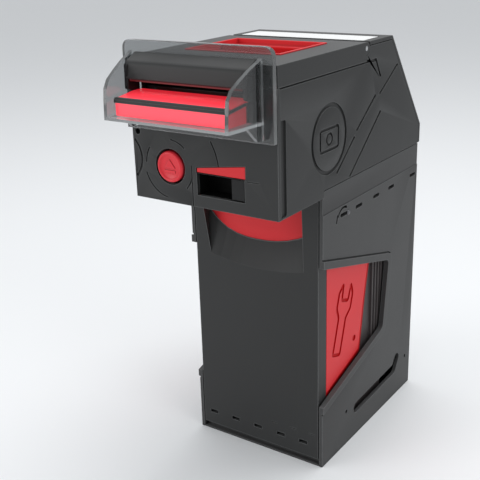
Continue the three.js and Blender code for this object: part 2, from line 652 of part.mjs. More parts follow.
function driveShaft(name, y) {
  return piece(name, join(
    rod("x", y, SHAFT_Z, SHAFT_R, -GEAR_X - 1, GEAR_END, 20),
    rod("x", y, SHAFT_Z, PULLEY_R, -GEAR_X - 3, -GEAR_X, 24),
  ), STEEL);
}

function driveRollers(end, y) {
  return ROLLERS.map(([side, x0, x1]) => {
    const tyre = rod("x", y, SHAFT_Z, DRIVE_R, x0, x1, 32);
    const bore = rod("x", y, SHAFT_Z, SHAFT_R + GAP, x0 - 1, x1 + 1, 20);
    return piece(end + "_" + side + "_roller", cut(tyre, bore), RUBBER);
  });
}

const toPinion = Math.atan2(MOTOR_Z - SHAFT_Z, MOTOR_Y - FRONT_SHAFT_Y);

function driveGear() {
  const teeth = gearOutline(FRONT_SHAFT_Y, SHAFT_Z, GEAR_TEETH, toPinion);
  const bore = rod("x", FRONT_SHAFT_Y, SHAFT_Z, SHAFT_R + GAP, GEAR_X - 1, GEAR_END + 1, 20);
  return piece("drive_gear", cut(slab("x", teeth, GEAR_X, GEAR_END), bore), ACETAL);
}

function motorPinion() {
  const half = Math.PI / PINION_TEETH;
  const teeth = gearOutline(MOTOR_Y, MOTOR_Z, PINION_TEETH, toPinion + Math.PI + half);
  return piece("motor_pinion", join(
    slab("x", teeth, GEAR_X, GEAR_END),
    rod("x", MOTOR_Y, MOTOR_Z, SHAFT_R, BRACKET_IN - 0.5, GEAR_X + 1, 20),
  ), STEEL);
}

function driveMotor() {
  return piece("drive_motor", rod("x", MOTOR_Y, MOTOR_Z, MOTOR_R, 4, BRACKET_IN - 1, 32), STEEL);
}

function driveBelt() {
  const x0 = -GEAR_X - 2.8;
  const x1 = -GEAR_X - 0.2;
  const loop = (radius, from, to) =>
    slot("x", [FRONT_SHAFT_Y, SHAFT_Z], [REAR_SHAFT_Y, SHAFT_Z], radius, from, to);
  const inner = PULLEY_R + GAP;
  return piece("drive_belt", cut(loop(inner + 1.2, x0, x1), loop(inner, x0 - 1, x1 + 1)), RUBBER);
}

function pinchRoller(name, y) {
  return piece(name, join(
    rod("x", y, PINCH_Z, PIN_R, -34, 34, 12),
    ...ROLLERS.map(([, x0, x1]) => rod("x", y, PINCH_Z, PINCH_R, x0 + 2, x1 - 2, 28)),
  ), RUBBER);
}

// ---------------------------------------------------------------- lid
const CUP_LEFT = -33;
const CUP_RIGHT = 31;
const CUP_FROM = FRONT - 16;
const CUP_TO = FRONT + 22.5;
const CUP_DEEP = 8;
const SHELF_TO = FRONT + 35; // back of its shallow end, over the rear pinch roller
const SHELF_DEEP = 2.8;
const CUP_WALL = 1.8;
const CUP_RIM = 0.8; // how far its rim stands above the lid
const PADDLE_GAP = 0.4;
const LID_FRONT_GAP = 0.6;

function topLid() {
  const outline = [
    [HEAD_FRONT + LID_FRONT_GAP, LID_LINE], [HINGE_Y, LID_LINE],
    ...arc(HINGE_Y, HINGE_Z, HINGE_R, -90, 90, 10), [HEAD_FRONT + LID_FRONT_GAP, HEAD_TOP],
  ];
  const inside = block(-COVER_IN, COVER_IN, HEAD_FRONT + LID_FRONT_GAP + WALL, HINGE_Y - HINGE_R,
    LID_LINE - 1, HEAD_TOP - WALL);
  const under = block(-COVER_IN, COVER_IN, HINGE_Y - HINGE_R - 1, HINGE_Y + HINGE_R + 1,
    LID_LINE - 1, HINGE_Z - HINGE_R);
  const room = CUP_WALL + GAP;
  const cup = block(CUP_LEFT - room, CUP_RIGHT + room, CUP_FROM - room, SHELF_TO + room,
    HEAD_TOP - WALL - 1, HEAD_TOP + 1);
  const bore = rod("x", HINGE_Y, HINGE_Z, PIN_R + GAP, -SIDE - 1, SIDE + 1, 20);
  return piece("top_lid", cut(slab("x", outline, -SIDE, SIDE), inside, under, cup, bore), CASING);
}

function upperGuide() {
  const top = GUIDE_HIGH + GUIDE_THICK;
  return piece("upper_note_guide", cut(
    block(-GUIDE_HALF, GUIDE_HALF, HEAD_FRONT + INSIDE + 2, HINGE_Y - 2, GUIDE_HIGH, top),
    ...rollerSlots(PINCH_R + GAP, GUIDE_HIGH - 1, top + 1),
  ), DARK);
}

function latchCup() {
  const floor = HEAD_TOP - CUP_DEEP;
  const shelf = HEAD_TOP - SHELF_DEEP;
  const top = HEAD_TOP + CUP_RIM;
  const x0 = CUP_LEFT - CUP_WALL;
  const x1 = CUP_RIGHT + CUP_WALL;
  return piece("latch_cup", cut(
    join(
      block(x0, x1, CUP_FROM - CUP_WALL, CUP_TO + CUP_WALL, floor - CUP_WALL, top),
      block(x0, x1, CUP_TO, SHELF_TO + CUP_WALL, shelf - CUP_WALL, top),
    ),
    block(CUP_LEFT, CUP_RIGHT, CUP_FROM, CUP_TO, floor, top + 1),
    block(CUP_LEFT, CUP_RIGHT, CUP_TO - 1, SHELF_TO, shelf, top + 1),
  ), RED);
}

function topLatch() {
  const low = HEAD_TOP - CUP_DEEP + PADDLE_GAP;
  const high = HEAD_TOP - 1.2;
  const foot = low + 1.8;
  const y0 = CUP_TO - 11;
  const y1 = CUP_TO - PADDLE_GAP;
  const profile = [
    [y0, low], [y1, low], [y1, high, 1.5], [y1 - 3.5, high, 1.5], [y1 - 5, foot, 1], [y0, foot, 0.5],
  ];
  return piece("top_latch",
    slab("x", rounded(profile, 0), CUP_LEFT + PADDLE_GAP, CUP_RIGHT - PADDLE_GAP), RED);
}

// ---------------------------------------------------------------- release button
const BUTTON_PROUD = 1.2;

function releaseButton() {
  const profile = [
    [0, 0], [BUTTON_R - 4, 0], [BUTTON_R - 1.4, 0.3], [BUTTON_R - 0.4, 0.9], [BUTTON_R, 2],
    [BUTTON_R, 7], [4, 7], [4, 12], [0, 12],
  ];
  const made = new THREE.LatheGeometry(profile.map(([r, back]) => new THREE.Vector2(r, back)), 36);
  made.translate(BUTTON_X, HEAD_FRONT - BUTTON_PROUD, BUTTON_Z);
  return piece("release_button", solid(made), RED);
}

const buttonSpring = () =>
  coil("button_spring", [BUTTON_X, HEAD_FRONT + 7, BUTTON_Z], 6.2, 0.45, 12, 4);

// ---------------------------------------------------------------- bezel
const BEZEL_HIGH = HEAD_TOP + 10;
const BEZEL_THICK = 3.7;
const CHEEK_OUT = SIDE - 6;
const CHEEK_IN = CHEEK_OUT - 2.4;
const CHEEK_REACH = 33; // how far the cheeks stand forward of the head
const CHEEK_LEAN = 3; // and how far they close in on the way
const TRAY_HALF = CHEEK_IN - CHEEK_LEAN - 2.1;
const TRAY_LOW = NOTE_Z - 13.7;
const BRIDGE_THICK = 1.6; // the clear floor under the tray
const HOOD_HALF = CHEEK_IN - 1.5;
const bezelY = (forward) => HEAD_FRONT - forward; // forward of the head's front face
const BEZEL_BACK = bezelY(GAP);
const BEZEL_FACE = BEZEL_BACK - BEZEL_THICK;

function bezelPlate() {
  const face = [
    [-SIDE, BEZEL_LOW], [SIDE, BEZEL_LOW], [SIDE, BEZEL_HIGH, 6], [-SIDE, BEZEL_HIGH, 6],
  ];
  const mouth = block(-MOUTH_HALF, MOUTH_HALF, BEZEL_FACE - 1, BEZEL_BACK + 1,
    NOTE_Z - MOUTH_RISE, NOTE_Z + MOUTH_RISE);
  return piece("bezel_plate", cut(slab("y", rounded(face, 0), BEZEL_FACE, BEZEL_BACK), mouth), CLEAR);
}

// A cheek is a flat outline (Y, Z) that leans inwards on its way forward from the plate.
function cheek(sign, outline, back) {
  const [x0, x1] = span(sign, CHEEK_IN, CHEEK_OUT);
  const made = new THREE.ExtrudeGeometry(rounded(outline, 0), { depth: x1 - x0, bevelEnabled: false });
  made.translate(0, 0, x0).applyMatrix4(LAY.x);
  const lean = (sign * CHEEK_LEAN) / (back - bezelY(CHEEK_REACH));
  return solid(made.applyMatrix4(new THREE.Matrix4().set(
    1, lean, 0, -lean * back, 0, 1, 0, 0, 0, 0, 1, 0, 0, 0, 0, 1)));
}

function bezelShell() {
  const back = BEZEL_FACE - GAP;
  const front = bezelY(CHEEK_REACH);
  const low = TRAY_LOW - GAP - BRIDGE_THICK;
  const profile = [
    [back, NOTE_Z - 24], [bezelY(9), NOTE_Z - 24], [bezelY(17), low], [front, low],
    [front + 0.6, NOTE_Z - 4], [front + 1.4, NOTE_Z + 2], [front + 4.6, NOTE_Z + 6.8],
    [front + 11, NOTE_Z + 11], [front + 18.4, NOTE_Z + 15.2], [back, NOTE_Z + 20],
  ];
  const cheeks = SIDES.map(([, sign]) => cheek(sign, profile, back));
  const wide = CHEEK_IN + 1;
  const narrow = wide - CHEEK_LEAN;
  const bridge = [[-narrow, front], [narrow, front], [wide, back], [-wide, back]];
  return piece("bezel_shell",
    join(...cheeks, slab("z", rounded(bridge, 0), low, low + BRIDGE_THICK)), CLEAR);
}

function lightTray() {
  const back = BEZEL_FACE - GAP;
  const profile = [
    [back, TRAY_LOW], [bezelY(28), TRAY_LOW, 1],
    [bezelY(28), NOTE_Z - 3.7, 1.5], [bezelY(13), NOTE_Z - 1.6], [back, NOTE_Z - 1.6],
  ];
  const pocket = block(-TRAY_HALF + 3, TRAY_HALF - 3, bezelY(25), back - 3, TRAY_LOW - 1, NOTE_Z - 8.5);
  return piece("light_tray", cut(slab("x", rounded(profile, 0), -TRAY_HALF, TRAY_HALF), pocket), RED);
}

function bezelHood() {
  const back = BEZEL_FACE - GAP;
  const profile = [
    [back, NOTE_Z + 5], [bezelY(15), NOTE_Z + 5, 1], [bezelY(13.7), NOTE_Z + 14.7, 2], [back, NOTE_Z + 19.5],
  ];
  return piece("bezel_hood", slab("x", rounded(profile, 0), -HOOD_HALF, HOOD_HALF), CASING);
}

function ledBoard() {
  const half = TRAY_HALF - 5;
  return piece("bezel_led_board",
    block(-half, half, bezelY(23), bezelY(9), TRAY_LOW + 0.2, TRAY_LOW + 1.8), BOARD);
}

// ---------------------------------------------------------------- the whole object
const machine = group(
  chassis(),
  group(stackerPlate(), stackerScrew()),
  group(
    cashboxFront(), cashboxShell(), cashboxHandle(),
    sidePanel("cashbox_left_panel", -1), sidePanel("cashbox_right_panel", 1),
    pressurePlate(), pressureSpring(),
  ),
  head(),
  group(lowerGuide(), rearGuide(), ...SIDES.map(([side, sign]) => shaftBracket(side, sign))),
  group(
    driveShaft("front_drive_shaft", FRONT_SHAFT_Y), ...driveRollers("front", FRONT_SHAFT_Y), driveGear(),
    driveShaft("rear_drive_shaft", REAR_SHAFT_Y), ...driveRollers("rear", REAR_SHAFT_Y),
    motorPinion(), driveMotor(), driveBelt(),
  ),
  group(
    topLid(), upperGuide(), latchCup(), topLatch(),
    pinchRoller("front_pinch_roller", FRONT_SHAFT_Y), pinchRoller("rear_pinch_roller", REAR_SHAFT_Y),
  ),
  piece("lid_hinge_pin", rod("x", HINGE_Y, HINGE_Z, PIN_R, -SIDE, SIDE, 16), STEEL),
  group(releaseButton(), buttonSpring()),
  group(bezelPlate(), bezelShell(), lightTray(), bezelHood(), ledBoard()),
);

export default machine;
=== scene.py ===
import bmesh
import bpy
import numpy as np
from mathutils import Matrix, Vector


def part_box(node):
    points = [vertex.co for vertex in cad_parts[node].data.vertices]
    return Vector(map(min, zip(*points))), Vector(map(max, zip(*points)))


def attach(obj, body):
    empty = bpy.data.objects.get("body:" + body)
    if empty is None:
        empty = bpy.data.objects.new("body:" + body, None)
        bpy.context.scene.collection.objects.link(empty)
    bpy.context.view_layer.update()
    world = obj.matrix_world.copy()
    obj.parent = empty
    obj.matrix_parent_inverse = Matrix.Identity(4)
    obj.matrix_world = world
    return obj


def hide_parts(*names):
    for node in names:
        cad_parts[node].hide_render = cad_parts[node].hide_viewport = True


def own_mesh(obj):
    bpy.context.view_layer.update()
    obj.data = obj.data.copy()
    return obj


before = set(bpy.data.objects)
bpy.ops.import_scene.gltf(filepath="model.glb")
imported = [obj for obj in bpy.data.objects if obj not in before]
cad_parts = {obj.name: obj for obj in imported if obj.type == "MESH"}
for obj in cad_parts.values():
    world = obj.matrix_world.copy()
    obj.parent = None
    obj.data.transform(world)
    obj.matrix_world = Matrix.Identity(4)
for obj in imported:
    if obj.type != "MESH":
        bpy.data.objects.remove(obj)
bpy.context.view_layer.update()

# ------------------------------------------------------------------------------------------------
# Camera: a moderate telephoto standing off the front right corner, a little above the lid and
# leaning by under two degrees, aimed left of the machine so that it sits right of the middle.
azimuth, elevation, lean = np.radians([35.1, 20.0, -1.8])
aim_at = np.array([-0.0537, -0.0105, 0.1273])
stand_off = 0.641
level = np.array([np.cos(azimuth), np.sin(azimuth), 0.0])
backwards = np.array([
    np.sin(azimuth) * np.cos(elevation), -np.cos(azimuth) * np.cos(elevation), np.sin(elevation),
])
upwards = np.cross(backwards, level)
turned = np.eye(4)
turned[:3, 0] = np.cos(lean) * level + np.sin(lean) * upwards
turned[:3, 1] = np.cos(lean) * upwards - np.sin(lean) * level
turned[:3, 2] = backwards
turned[:3, 3] = aim_at + stand_off * backwards
camera = bpy.data.objects.new("camera", bpy.data.cameras.new("camera"))
camera.data.lens = 63.96
camera.data.sensor_width = 36.0
camera.data.clip_start = 0.01
camera.matrix_world = Matrix(turned.tolist())
bpy.context.scene.collection.objects.link(camera)
bpy.context.scene.camera = camera
bpy.context.scene.view_settings.view_transform = "Standard"

# ------------------------------------------------------------------------------------------------
# Studio: soft boxes above, to the right and low on the left, a pale sky, and a plain pale floor
# that the chassis stands on.


def soft_box(name, place, aim, width, power):
    """A square area light at place, turned so that its face looks at aim."""
    lamp = bpy.data.objects.new(name, bpy.data.lights.new(name, "AREA"))
    lamp.data.size = width
    lamp.data.energy = power
    lamp.location = place
    lamp.rotation_euler = (Vector(aim) - Vector(place)).to_track_quat("-Z", "Y").to_euler()
    bpy.context.scene.collection.objects.link(lamp)


soft_box("right_soft_box", (1.25, -0.35, 0.75), (0.0, 0.0, 0.12), 0.8, 3.2)
soft_box("top_soft_box", (0.1, 0.25, 1.35), (0.0, 0.0, 0.2), 0.9, 8.5)
soft_box("left_soft_box", (-0.9, -1.1, 0.55), (0.0, -0.05, 0.15), 0.8, 5.5)

sky = bpy.data.worlds.new("pale_sky")
sky.use_nodes = True
sky.node_tree.nodes["Background"].inputs["Color"].default_value = (0.86, 0.88, 0.9, 1.0)
sky.node_tree.nodes["Background"].inputs["Strength"].default_value = 0.75
bpy.context.scene.world = sky

MM = 0.001


def span(node):
    """The low and high corners of a sub-part's box, in millimetres."""
    return [np.round(np.array(corner) / MM, 3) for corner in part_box(node)]


def new_piece(name, points, faces):
    """An object at the origin whose mesh has these (n, 3) points, given in millimetres."""
    mesh = bpy.data.meshes.new(name)
    mesh.from_pydata((np.asarray(points, float).reshape(-1, 3) * MM).tolist(), [], faces)
    piece = bpy.data.objects.new(name, mesh)
    bpy.context.scene.collection.objects.link(piece)
    return piece


floor = new_piece("floor", [[-6000, -6000, 0], [6000, -6000, 0], [6000, 6000, 0], [-6000, 6000, 0]],
                  [[0, 1, 2, 3]])
floor_paint = bpy.data.materials.new("floor_paint")
floor_paint.use_nodes = True
floor_paint.node_tree.nodes["Principled BSDF"].inputs["Base Color"].default_value = (0.84, 0.85, 0.86, 1)
floor_paint.node_tree.nodes["Principled BSDF"].inputs["Roughness"].default_value = 0.7
floor.data.materials.append(floor_paint)

# ------------------------------------------------------------------------------------------------
# Chassis sides: two black mouldings with a raised rim round a wedge-shaped cut-out, a row of
# fixing slots, a hockey-stick cable slot, and a shallow step below the head.


def mould_grain():
    """Shader group for moulded plastic: spark-eroded grain, flow marks, dust, edges and crevices.

    Grain height is fine noise on Object coordinates. Colour is the base mixed with a slightly
    lighter one by a soft, larger noise; then with dust where a face looks up; then with the edge
    colour, a painted highlight (a painted darker edge on red_plastic), where the normal averaged
    over a small radius turns away from the face's own; and last it is darkened towards near black,
    as painted shade, where other surfaces stand closer than two millimetres. Roughness is the given
    value moved up and down by the soft noise.
    """
    tree = bpy.data.node_groups.new("mould_grain", "ShaderNodeTree")
    for socket, kind, value in [("Colour", "NodeSocketColor", (0.05, 0.05, 0.05, 1)),
                                ("Lighter", "NodeSocketColor", (0.08, 0.08, 0.08, 1)),
                                ("Edge Highlight Colour", "NodeSocketColor", (0.2, 0.2, 0.2, 1)),
                                ("Edge Highlight", "NodeSocketFloat", 0.5),
                                ("Crevice Shade", "NodeSocketFloat", 0.7),
                                ("Roughness", "NodeSocketFloat", 0.5),
                                ("Grain Scale", "NodeSocketFloat", 2600.0),
                                ("Grain Depth", "NodeSocketFloat", 0.25),
                                ("Dust", "NodeSocketFloat", 0.1)]:
        tree.interface.new_socket(socket, in_out="INPUT", socket_type=kind).default_value = value
    for socket, kind in [("Colour", "NodeSocketColor"), ("Roughness", "NodeSocketFloat"),
                         ("Normal", "NodeSocketVector")]:
        tree.interface.new_socket(socket, in_out="OUTPUT", socket_type=kind)
    node, link = tree.nodes.new, tree.links.new
    given, out = node("NodeGroupInput"), node("NodeGroupOutput")

    def blend(factor, low, high):
        mix = node("ShaderNodeMix")
        mix.data_type = "RGBA"
        link(factor, mix.inputs["Factor"])
        link(low, mix.inputs["A"])
        if isinstance(high, tuple):
            mix.inputs["B"].default_value = high
        else:
            link(high, mix.inputs["B"])
        return mix.outputs["Result"]

    def ramp(value, low, high, to_low=0.0, to_high=1.0):
        spread = node("ShaderNodeMapRange")
        for socket, number in [("From Min", low), ("From Max", high),
                               ("To Min", to_low), ("To Max", to_high)]:
            spread.inputs[socket].default_value = number
        link(value, spread.inputs["Value"])
        return spread.outputs["Result"]

    def times(first, second):
        product = node("ShaderNodeMath")
        product.operation = "MULTIPLY"
        link(first, product.inputs[0])
        link(second, product.inputs[1])
        return product.outputs["Value"]

    place = node("ShaderNodeTexCoord")
    cloud, grain = node("ShaderNodeTexNoise"), node("ShaderNodeTexNoise")
    cloud.inputs["Scale"].default_value = 22.0
    cloud.inputs["Detail"].default_value = 5.0
    grain.inputs["Detail"].default_value = 2.0
    link(place.outputs["Object"], cloud.inputs["Vector"])
    link(place.outputs["Object"], grain.inputs["Vector"])
    link(given.outputs["Grain Scale"], grain.inputs["Scale"])
    soft = cloud.outputs["Fac"]
    colour = blend(soft, given.outputs["Colour"], given.outputs["Lighter"])

    facing, upward = node("ShaderNodeNewGeometry"), node("ShaderNodeSeparateXYZ")
    link(facing.outputs["Normal"], upward.inputs["Vector"])
    lying = times(ramp(upward.outputs["Z"], 0.6, 1.0), soft)
    colour = blend(times(lying, given.outputs["Dust"]), colour, (0.42, 0.42, 0.42, 1))

    # painted highlight: the edge colour is laid along convex edges, where the averaged normal turns away
    around, turn = node("ShaderNodeBevel"), node("ShaderNodeVectorMath")
    around.samples = 6
    around.inputs["Radius"].default_value = 0.0008
    turn.operation = "DOT_PRODUCT"
    link(around.outputs["Normal"], turn.inputs[0])
    link(facing.outputs["Normal"], turn.inputs[1])
    near = node("ShaderNodeAmbientOcclusion")
    near.samples = 6
    near.inputs["Distance"].default_value = 0.002
    convex = times(ramp(turn.outputs["Value"], 0.985, 0.80), ramp(near.outputs["AO"], 0.75, 1.0))
    colour = blend(times(convex, given.outputs["Edge Highlight"]), colour, given.outputs["Edge Highlight Colour"])
    # painted shade: near black is laid where other surfaces stand within two millimetres
    painted_crevice_shade = times(ramp(near.outputs["AO"], 1.0, 0.25), given.outputs["Crevice Shade"])
    link(blend(painted_crevice_shade, colour, (0.002, 0.002, 0.002, 1)), out.inputs["Colour"])

    rough = node("ShaderNodeMath")
    link(given.outputs["Roughness"], rough.inputs[0])
    link(ramp(soft, 0.0, 1.0, -0.07, 0.07), rough.inputs[1])
    link(rough.outputs["Value"], out.inputs["Roughness"])
    bump = node("ShaderNodeBump")
    bump.inputs["Distance"].default_value = 0.00012
    link(grain.outputs["Fac"], bump.inputs["Height"])
    link(given.outputs["Grain Depth"], bump.inputs["Strength"])
    link(bump.outputs["Normal"], out.inputs["Normal"])
    return tree


GRAIN = mould_grain()


def plastic(name, colour, lighter, roughness, grain=0.25, dust=0.1, specular=0.3, edge=(0.17, 0.175, 0.175),
            edge_highlight=0.75, crevice_shade=0.75, scale=2600.0):
    """A Principled material whose colour, roughness and normal come from the moulding group; its edge colour
    is a painted edge highlight, and its darkening in recesses is painted shade.
    """
    material = bpy.data.materials.new(name)
    material.use_nodes = True
    nodes, links = material.node_tree.nodes, material.node_tree.links
    shader = nodes["Principled BSDF"]
    shader.inputs["Specular IOR Level"].default_value = specular
    mould = nodes.new("ShaderNodeGroup")
    mould.node_tree = GRAIN
    for socket, shade in [("Colour", colour), ("Lighter", lighter), ("Edge Highlight Colour", edge)]:
        mould.inputs[socket].default_value = (*shade, 1)
    for socket, number in [("Roughness", roughness), ("Grain Scale", scale), ("Grain Depth", grain),
                           ("Dust", dust), ("Edge Highlight", edge_highlight), ("Crevice Shade", crevice_shade)]:
        mould.inputs[socket].default_value = number
    for socket, target in [("Colour", "Base Color"), ("Roughness", "Roughness"), ("Normal", "Normal")]:
        links.new(mould.outputs[socket], shader.inputs[target])
    return material


def lay(axis, u, v, depth):
    """Points whose flat coordinates (u, v) are (Y, Z), (X, Z) or (X, Y), with depth along axis."""
    u, v, depth = np.broadcast_arrays(np.asarray(u, float), v, depth)
    order = {"x": (depth, u, v), "y": (u, depth, v), "z": (u, v, depth)}[axis]
    return np.stack(order, axis=-1)


def skin(name, grid, ring=True, loop=False, ends=True):
    """A surface through a grid of points (rows, columns): each cell is a four-sided face.

    ring joins the last column to the first, loop joins the last row to the first, and ends
    closes the first and last rows. Coincident points are merged and faces turned outwards.
    """
    rows, columns = grid.shape[:2]
    index = np.arange(rows * columns).reshape(rows, columns)
    if ring:
        index = np.hstack([index, index[:, :1]])
    if loop:
        index = np.vstack([index, index[:1]])
    faces = np.stack([index[:-1, :-1], index[:-1, 1:], index[1:, 1:], index[1:, :-1]], -1)
    faces = faces.reshape(-1, 4).tolist()
    if ends and not loop:
        faces += [list(range(columns)), list(range((rows - 1) * columns, rows * columns))]
    piece = new_piece(name, grid, faces)
    work = bmesh.new()
    work.from_mesh(piece.data)
    bmesh.ops.remove_doubles(work, verts=work.verts, dist=1e-7)
    bmesh.ops.recalc_face_normals(work, faces=work.faces)
    work.to_mesh(piece.data)
    work.free()
    return piece


def sideways(path, closed):
    """For each point of a flat line, the mitred direction to its right, long enough to keep
    a parallel line at unit distance: the two neighbouring normals added, over 1 + their cosine."""
    ahead = np.roll(path, -1, 0) - path
    ahead /= np.maximum(np.linalg.norm(ahead, axis=1, keepdims=True), 1e-12)
    normal = np.stack([ahead[:, 1], -ahead[:, 0]], 1)
    before = np.roll(normal, 1, 0)
    if not closed:
        normal[-1] = before[-1]
        before[0] = normal[0]
    return (normal + before) / (1 + (normal * before).sum(1, keepdims=True))


def run_along(name, axis, path, section, closed=False):
    """A section of (sideways, depth) points carried along a flat path, square at its ends."""
    path, section = np.asarray(path, float), np.asarray(section, float)
    side = sideways(path, closed)
    flat = path[:, None, :] + side[:, None, :] * section[None, :, :1]
    return skin(name, lay(axis, flat[..., 0], flat[..., 1], section[None, :, 1]), loop=closed)


def groove(name, axis, path, width, bottom, top, closed=False):
    """A flat-bottomed groove cutter along a path, from depth bottom to past the surface at top."""
    half = width / 2
    return run_along(name, axis, path, [[-half, bottom], [half, bottom], [half, top], [-half, top]],
                     closed)


def slab(name, axis, outline, low, high):
    """A flat outline of (u, v) points given thickness from low to high along the axis."""
    outline = np.asarray(outline, float)
    depth = np.array([low, high])[:, None]
    return skin(name, lay(axis, outline[None, :, 0], outline[None, :, 1], depth))


def turned_part(name, axis, centre, profile, sides=48, from_angle=0.0, to_angle=2 * np.pi):
    """A profile of (radius, depth) points turned about a line along axis through centre (u, v)."""
    profile = np.asarray(profile, float)
    full = abs(to_angle - from_angle - 2 * np.pi) < 1e-6
    angle = np.linspace(from_angle, to_angle, sides, endpoint=not full)[:, None]
    u = centre[0] + profile[None, :, 0] * np.cos(angle)
    v = centre[1] + profile[None, :, 0] * np.sin(angle)
    return skin(name, lay(axis, u, v, profile[None, :, 1]), loop=full, ends=not full)


def arc(u, v, radius, start, end, steps=24):
    """Points on a circle about (u, v), from start to end degrees."""
    angle = np.radians(np.linspace(start, end, steps))
    return np.stack([u + radius * np.cos(angle), v + radius * np.sin(angle)], 1)


def bar(u0, v0, u1, v1):
    """The four corners of an upright rectangle."""
    return [[u0, v0], [u1, v0], [u1, v1], [u0, v1]]


def inset(outline, distances):
    """Each edge of an anticlockwise outline moved inwards by its own distance: a corner goes to
    where its two moved edges cross, solved as a pair of line equations n . p = n . p0 + d."""
    ahead = np.roll(outline, -1, 0) - outline
    ahead /= np.linalg.norm(ahead, axis=1, keepdims=True)
    inward = np.stack([-ahead[:, 1], ahead[:, 0]], 1)
    reach = (inward * outline).sum(1) + distances
    pair = np.stack([inward, np.roll(inward, 1, 0)], 1)
    return np.linalg.solve(pair, np.stack([reach, np.roll(reach, 1)], 1)[..., None])[..., 0]


def rounded(points, radius, steps=6):
    """A closed outline with each corner replaced by a quadratic curve that starts and ends
    radius away from it: (1-t)^2 a + 2t(1-t) corner + t^2 b."""
    points = np.asarray(points, float)
    before, after = np.roll(points, 1, 0) - points, np.roll(points, -1, 0) - points
    away = [np.linalg.norm(d, axis=1, keepdims=True) for d in (before, after)]
    start = points + before / away[0] * np.minimum(radius, away[0] / 2.01)
    end = points + after / away[1] * np.minimum(radius, away[1] / 2.01)
    t = np.linspace(0, 1, steps)[None, :, None]
    curve = (1 - t) ** 2 * start[:, None] + 2 * t * (1 - t) * points[:, None] + t ** 2 * end[:, None]
    return curve.reshape(-1, 2)


def smooth(piece, degrees=34.0):
    """Round shading, with creases kept where faces meet at more than degrees."""
    piece.data.polygons.foreach_set("use_smooth", np.ones(len(piece.data.polygons), bool))
    piece.data.set_sharp_from_angle(angle=np.radians(degrees))


def ease(piece, radius, segments=2, degrees=34.0):
    """The mould's small edge radius, as a live Bevel on edges sharper than degrees."""
    edge = piece.modifiers.new("edge", "BEVEL")
    edge.width = radius * MM
    edge.segments = segments
    edge.limit_method = "ANGLE"
    edge.angle_limit = np.radians(degrees)
    edge.harden_normals = True
    smooth(piece, degrees)


def carve(piece, cutters, how="DIFFERENCE"):
    """The piece less each cutter (or with it joined on); the cutters are used up."""
    for cutter in cutters:
        step = piece.modifiers.new("cut", "BOOLEAN")
        step.object = cutter
        step.operation = how
        step.solver = "EXACT"
        step.use_self = True
        ready = piece.evaluated_get(bpy.context.evaluated_depsgraph_get())
        mesh = bpy.data.meshes.new_from_object(ready)
        piece.modifiers.clear()
        piece.data = mesh
        bpy.data.objects.remove(cutter)
    work = bmesh.new()
    work.from_mesh(piece.data)
    bmesh.ops.remove_doubles(work, verts=work.verts, dist=1e-7)
    bmesh.ops.dissolve_limit(work, angle_limit=np.radians(0.6), verts=work.verts, edges=work.edges)
    work.to_mesh(piece.data)
    work.free()


def shell_of(name, node):
    """A copy of a sub-part's own solid, with its points merged and flat faces made whole."""
    piece = bpy.data.objects.new(name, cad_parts[node].data.copy())
    piece.data.materials.clear()
    bpy.context.scene.collection.objects.link(piece)
    work = bmesh.new()
    work.from_mesh(piece.data)
    bmesh.ops.remove_doubles(work, verts=work.verts, dist=1e-6)
    bmesh.ops.dissolve_limit(work, angle_limit=np.radians(0.6), verts=work.verts, edges=work.edges)
    work.to_mesh(piece.data)
    work.free()
    return piece


def fit(piece, body, slot, material, *nodes):
    """Gives the piece its material and its body, and hides the sub-parts it stands for; slot is not used."""
    piece.data.materials.clear()
    piece.data.materials.append(material)
    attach(piece, body)
    if nodes:
        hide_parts(*nodes)


def moulding(name, node, body, slot, material, radius, **rounding):
    """A sub-part's own solid with eased edges, put on its body."""
    piece = shell_of(name, node)
    ease(piece, radius, **rounding)
    fit(piece, body, slot, material, node)


def finish_node(node, material):
    """A sub-part that is shown as it is, with a better material."""
    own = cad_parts[node].data
    own.materials.clear()
    own.materials.append(material)


chassis_black = plastic("chassis_black", (0.043, 0.043, 0.0435), (0.050, 0.050, 0.0505), 0.52, dust=0.12)
low, high = span("chassis_right_side")
front, back, wall_top = low[1], high[1], high[2]
side_face = high[0] - 1.0  # the rim stands a millimetre proud of the side
cut_out = np.array([[front - 10, 43.8], [front + 88, 69.2], [front + 95, 120.4], [front - 10, 148.3]])
for side, sign in [("left", -1), ("right", 1)]:
    node = f"chassis_{side}_side"
    wall = shell_of(f"{side}_chassis_wall", node)
    outer = sign * (side_face + 2)
    step_from = sign * (side_face - 0.35)
    hook = np.vstack([[[front + 17, 170.6], [front + 18.6, 175.2]],
                      arc(front + 27, 170.5, 8.6, 150, 62, 10)])
    cutters = [slab("step", "x", bar(front - 1, wall_top - 16.4, back + 1, wall_top + 1), step_from, outer)]
    cutters.append(groove("hook", "x", hook, 1.6, sign * (side_face - 1.5), outer))
    cutters.append(groove("rim_line", "x", rounded(inset(cut_out, -5.6), 7.0), 1.1,
                          sign * (side_face - 0.8), outer, closed=True))
    seam_from = sign * (side_face - 1.2)
    cutters.append(slab("seam", "x", bar(front - 1, wall_top - 1, back + 1, wall_top + 1), seam_from, outer))
    carve(wall, cutters)
    ease(wall, 0.45)
    fit(wall, "chassis", "chassis_black", chassis_black, node)

# The bay's floor and back wall close the two sides; four round pads are sunk into its underside.
foot_places = [(x, y) for x in (-38, 38) for y in (front + 12, back - 18)]
bay_floor = shell_of("bay_floor", "chassis_base")
carve(bay_floor, [slab("pad", "z", arc(x, y, 5.5, 0, 345, 24), -1.0, 0.5) for x, y in foot_places])
ease(bay_floor, 0.4)
fit(bay_floor, "chassis", "chassis_black", chassis_black, "chassis_base")
moulding("bay_back", "chassis_back", "chassis", "chassis_black", chassis_black, 0.4)

# ------------------------------------------------------------------------------------------------
# Rivets and screws: a domed steel rivet by the first slot on each side, and cross-head screws at
# the floor's pads. The back cover's screws are made the same way, further down.


